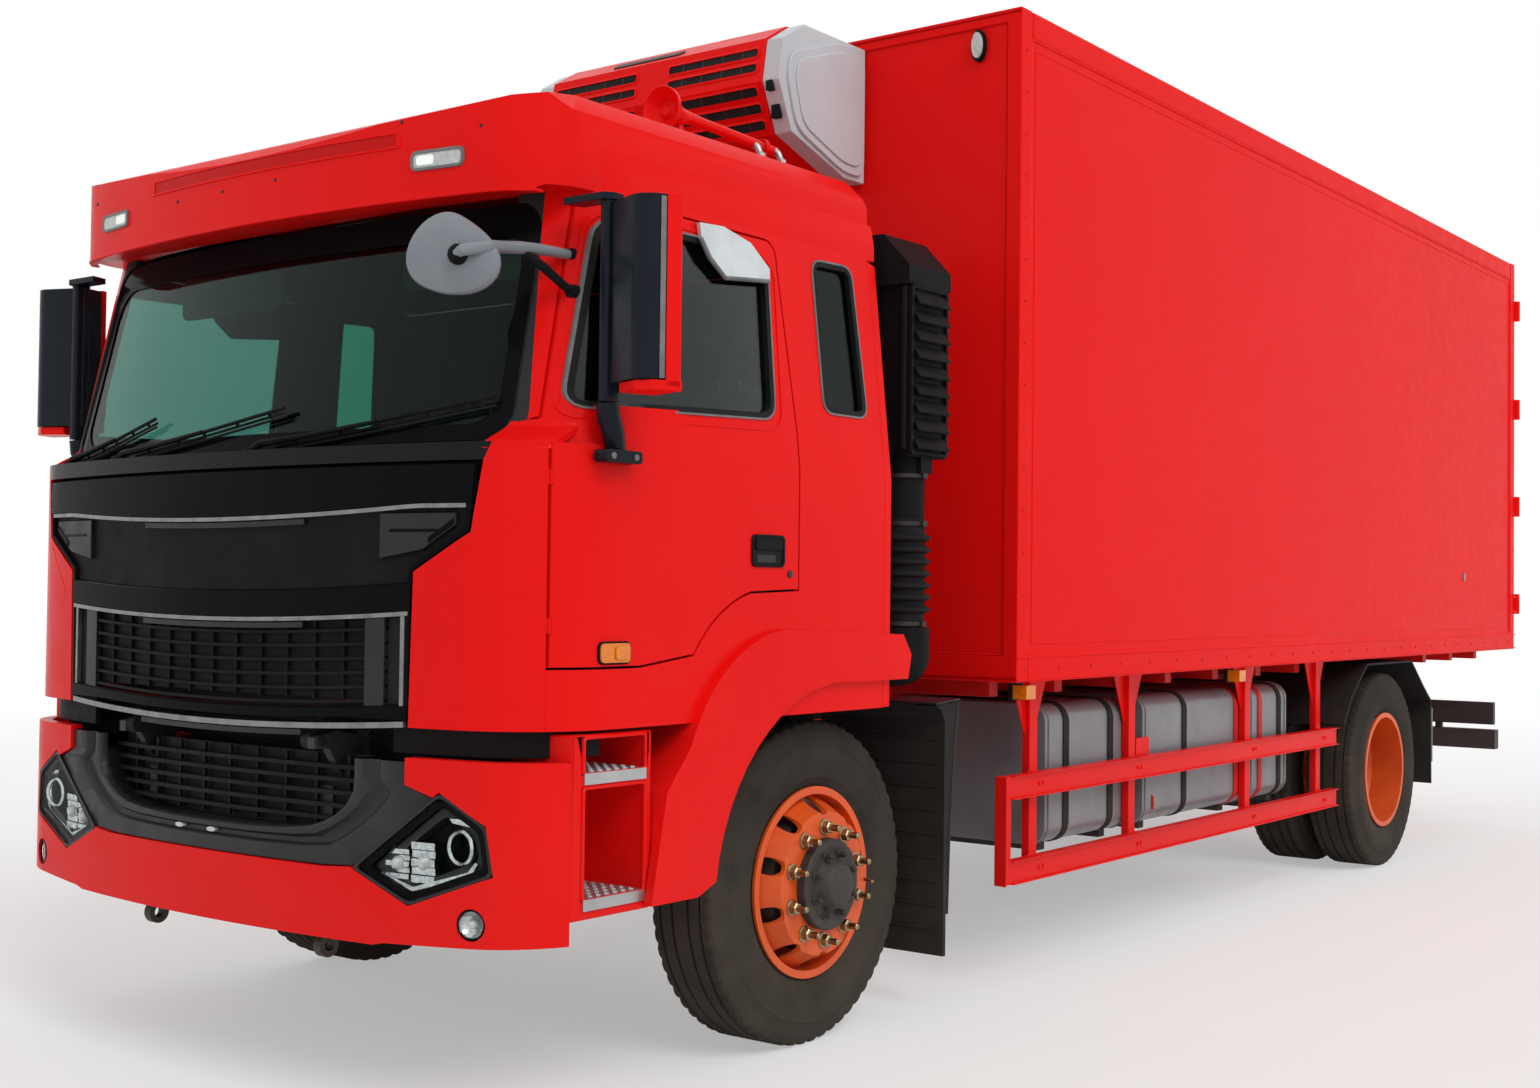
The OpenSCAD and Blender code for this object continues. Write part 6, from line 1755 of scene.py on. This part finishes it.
def buildUnderside():
    # spring bolts, dampers, the air tanks' bands and the exhaust pipe
    bm = bmesh.new()
    spring = {"x": (0.340, 0.444), "z": {axle: 0.560, rearAxle: 0.600}, "bolts": (-0.07, 0.07),
              "boltRound": 0.009}
    xa, xb = spring["x"]
    thick = spring["boltRound"]
    for yc, z in spring["z"].items():
        for x in spring["x"]:
            for off in spring["bolts"]:
                addTube(bm, [(x, yc + off, z - 0.19), (x, yc + off, z + 0.105)], thick, 8, 0)
                addLathe(bm, [(0.016, 0.0), (0.016, 0.014), (0.009, 0.016)],
                         (x, yc + off, z - 0.19), "z", 6, 0)
        for off in spring["bolts"]:
            addTube(bm, [(xa, yc + off, z + 0.105), (xa + 0.012, yc + off, z + 0.118),
                         (xb - 0.012, yc + off, z + 0.118), (xb, yc + off, z + 0.105)], thick, 8, 0)
    for yc, lean in ((axle, 0.10), (rearAxle, -0.12)):
        x = 0.50
        addTube(bm, [(x, yc + 0.02, 0.56), (x, yc + lean, 0.74)], 0.026, 14, 0)
        addTube(bm, [(x, yc + lean, 0.74), (x, yc + lean * 1.6, 0.90)], 0.034, 14, 1)
    addMirror(bm)
    airTanks = {"x": (-0.690, -0.950), "y": (-0.612, 0.461), "band": 0.22}
    for x in airTanks["x"]:
        for y in (airTanks["y"][0] + airTanks["band"], airTanks["y"][1] - airTanks["band"]):
            addLathe(bm, [(0.1255, y - 0.02), (0.1295, y - 0.02), (0.1295, y + 0.02),
                          (0.1255, y + 0.02)], (x, 0.0, 0.615), "y", 40, 0)
    addTube(bm, [(-0.24, -2.55, 0.62), (-0.30, -2.2, 0.52), (-0.34, -1.6, 0.50),
                 (-0.34, -1.52, 0.50)], 0.045, 16, 2)
    piece("chassis_fittings", bm, "root", [steelDark, rubber, satinSilver], 0.001)


seatCloth = finish("seatCloth", (0.040, 0.041, 0.045), (0.026, 0.027, 0.030), rough=0.85,
                   tone=14.0, grain=900.0, bump=0.4, sheen=0.3, spec=0.15)
buildWheels()
buildSteps()
buildIntake()
buildHorn()
buildCooling()
buildBoxTrim()
buildGuards()
buildTanks()
buildFlaps()
buildRear()
buildCabin()
buildSeats()
buildUnderside()
print("chassis, box and cab fittings built")


# floor, light and camera
def shownMask(tree):  # rays that reach the eye straight, in gloss or through glass
    rays = tree.nodes.new("ShaderNodeLightPath")
    seen = mathNode(tree, "MAXIMUM", rays.outputs["Is Camera Ray"], rays.outputs["Is Glossy Ray"])
    return mathNode(tree, "MAXIMUM", seen, rays.outputs["Is Transmission Ray"])


def blendShaders(tree, fac, plain, shown, target):
    blend = tree.nodes.new("ShaderNodeMixShader")
    for socket, value in zip(blend.inputs, (fac, plain.outputs[0], shown.outputs[0])):
        tree.links.new(value, socket)
    tree.links.new(blend.outputs[0], target)


stage = {"half": 60.0, "tone": 0.86, "clearFrom": 5.0, "clearTo": 15.0, "fill": 0.40}


def buildStage():
    bm = bmesh.new()
    h = stage["half"]
    bm.faces.new([bm.verts.new(p) for p in ((-h, -h, 0), (h, -h, 0), (h, h, 0), (-h, h, 0))])
    mesh = bpy.data.meshes.new("groundSheet")
    bm.to_mesh(mesh)
    bm.free()
    floor = bpy.data.objects.new("groundSheet", mesh)
    scene.collection.objects.link(floor)
    mat = bpy.data.materials.new("paleGround")
    mat.use_nodes = True
    tree = mat.node_tree
    shader = tree.nodes["Principled BSDF"]
    shader.inputs["Roughness"].default_value = 0.9
    shader.inputs["Specular IOR Level"].default_value = 0.1
    spot = objectSpot(tree)
    patch = noiseNode(tree, spot, 1.5)
    tone = stage["tone"]
    tree.links.new(mixColor(tree, patch, rgba([tone] * 3), rgba([tone + 0.02] * 3)),
                   shader.inputs["Base Color"])
    far = tree.nodes.new("ShaderNodeVectorMath")  # distance from the truck
    far.operation = "LENGTH"
    tree.links.new(spot, far.inputs[0])
    mask = spanNode(tree, far.outputs["Value"], stage["clearFrom"], stage["clearTo"],
                    stage["fill"], 1.0)
    white = tree.nodes.new("ShaderNodeEmission")
    white.inputs["Strength"].default_value = 1.0
    blendShaders(tree, mathNode(tree, "MULTIPLY", mask, shownMask(tree)), shader, white,
                 tree.nodes["Material Output"].inputs["Surface"])
    mesh.materials.append(mat)


light = {"world": 0.66, "sun": 1.15, "sunSoft": 30.0, "from": (0.80, -0.28, 0.80)}


def buildLight():
    world = bpy.data.worlds.new("paleStudio")
    scene.world = world
    world.use_nodes = True
    tree = world.node_tree
    lit = tree.nodes["Background"]
    shown = tree.nodes.new("ShaderNodeBackground")
    for background, strength in ((lit, light["world"]), (shown, 1.0)):
        background.inputs["Color"].default_value = (1, 1, 1, 1)
        background.inputs["Strength"].default_value = strength
    blendShaders(tree, shownMask(tree), lit, shown, tree.nodes["World Output"].inputs["Surface"])
    sun = bpy.data.lights.new("keyLight", "SUN")
    sun.energy = light["sun"]
    sun.angle = math.radians(light["sunSoft"])
    lamp = bpy.data.objects.new("keyLight", sun)
    lamp.rotation_euler = Vector(light["from"]).to_track_quat("Z", "Y").to_euler()
    scene.collection.objects.link(lamp)


view = {"spot": (4.478, -7.574, 1.425), "turn": 37.281, "rise": 1.392, "roll": 0.659,
        "lens": 42.58, "sensor": 36.0, "clip": 300.0}


def buildCamera():
    camera = bpy.data.objects.new("mainCamera", bpy.data.cameras.new("mainCamera"))
    turn, rise, roll = (math.radians(view[k]) for k in ("turn", "rise", "roll"))
    ahead = Vector((-math.sin(turn) * math.cos(rise), math.cos(turn) * math.cos(rise),
                    math.sin(rise)))
    right = Vector((math.cos(turn), math.sin(turn), 0))
    up = right.cross(ahead)
    x = right * math.cos(roll) + up * math.sin(roll)
    y = up * math.cos(roll) - right * math.sin(roll)
    basis = Matrix((x, y, -ahead)).transposed().to_4x4()
    camera.matrix_world = Matrix.Translation(view["spot"]) @ basis
    camera.data.lens = view["lens"]
    camera.data.sensor_width = view["sensor"]
    camera.data.clip_end = view["clip"]
    scene.collection.objects.link(camera)
    scene.camera = camera


buildStage()
buildLight()
buildCamera()
scene.view_settings.view_transform = "Standard"
print("stage set")
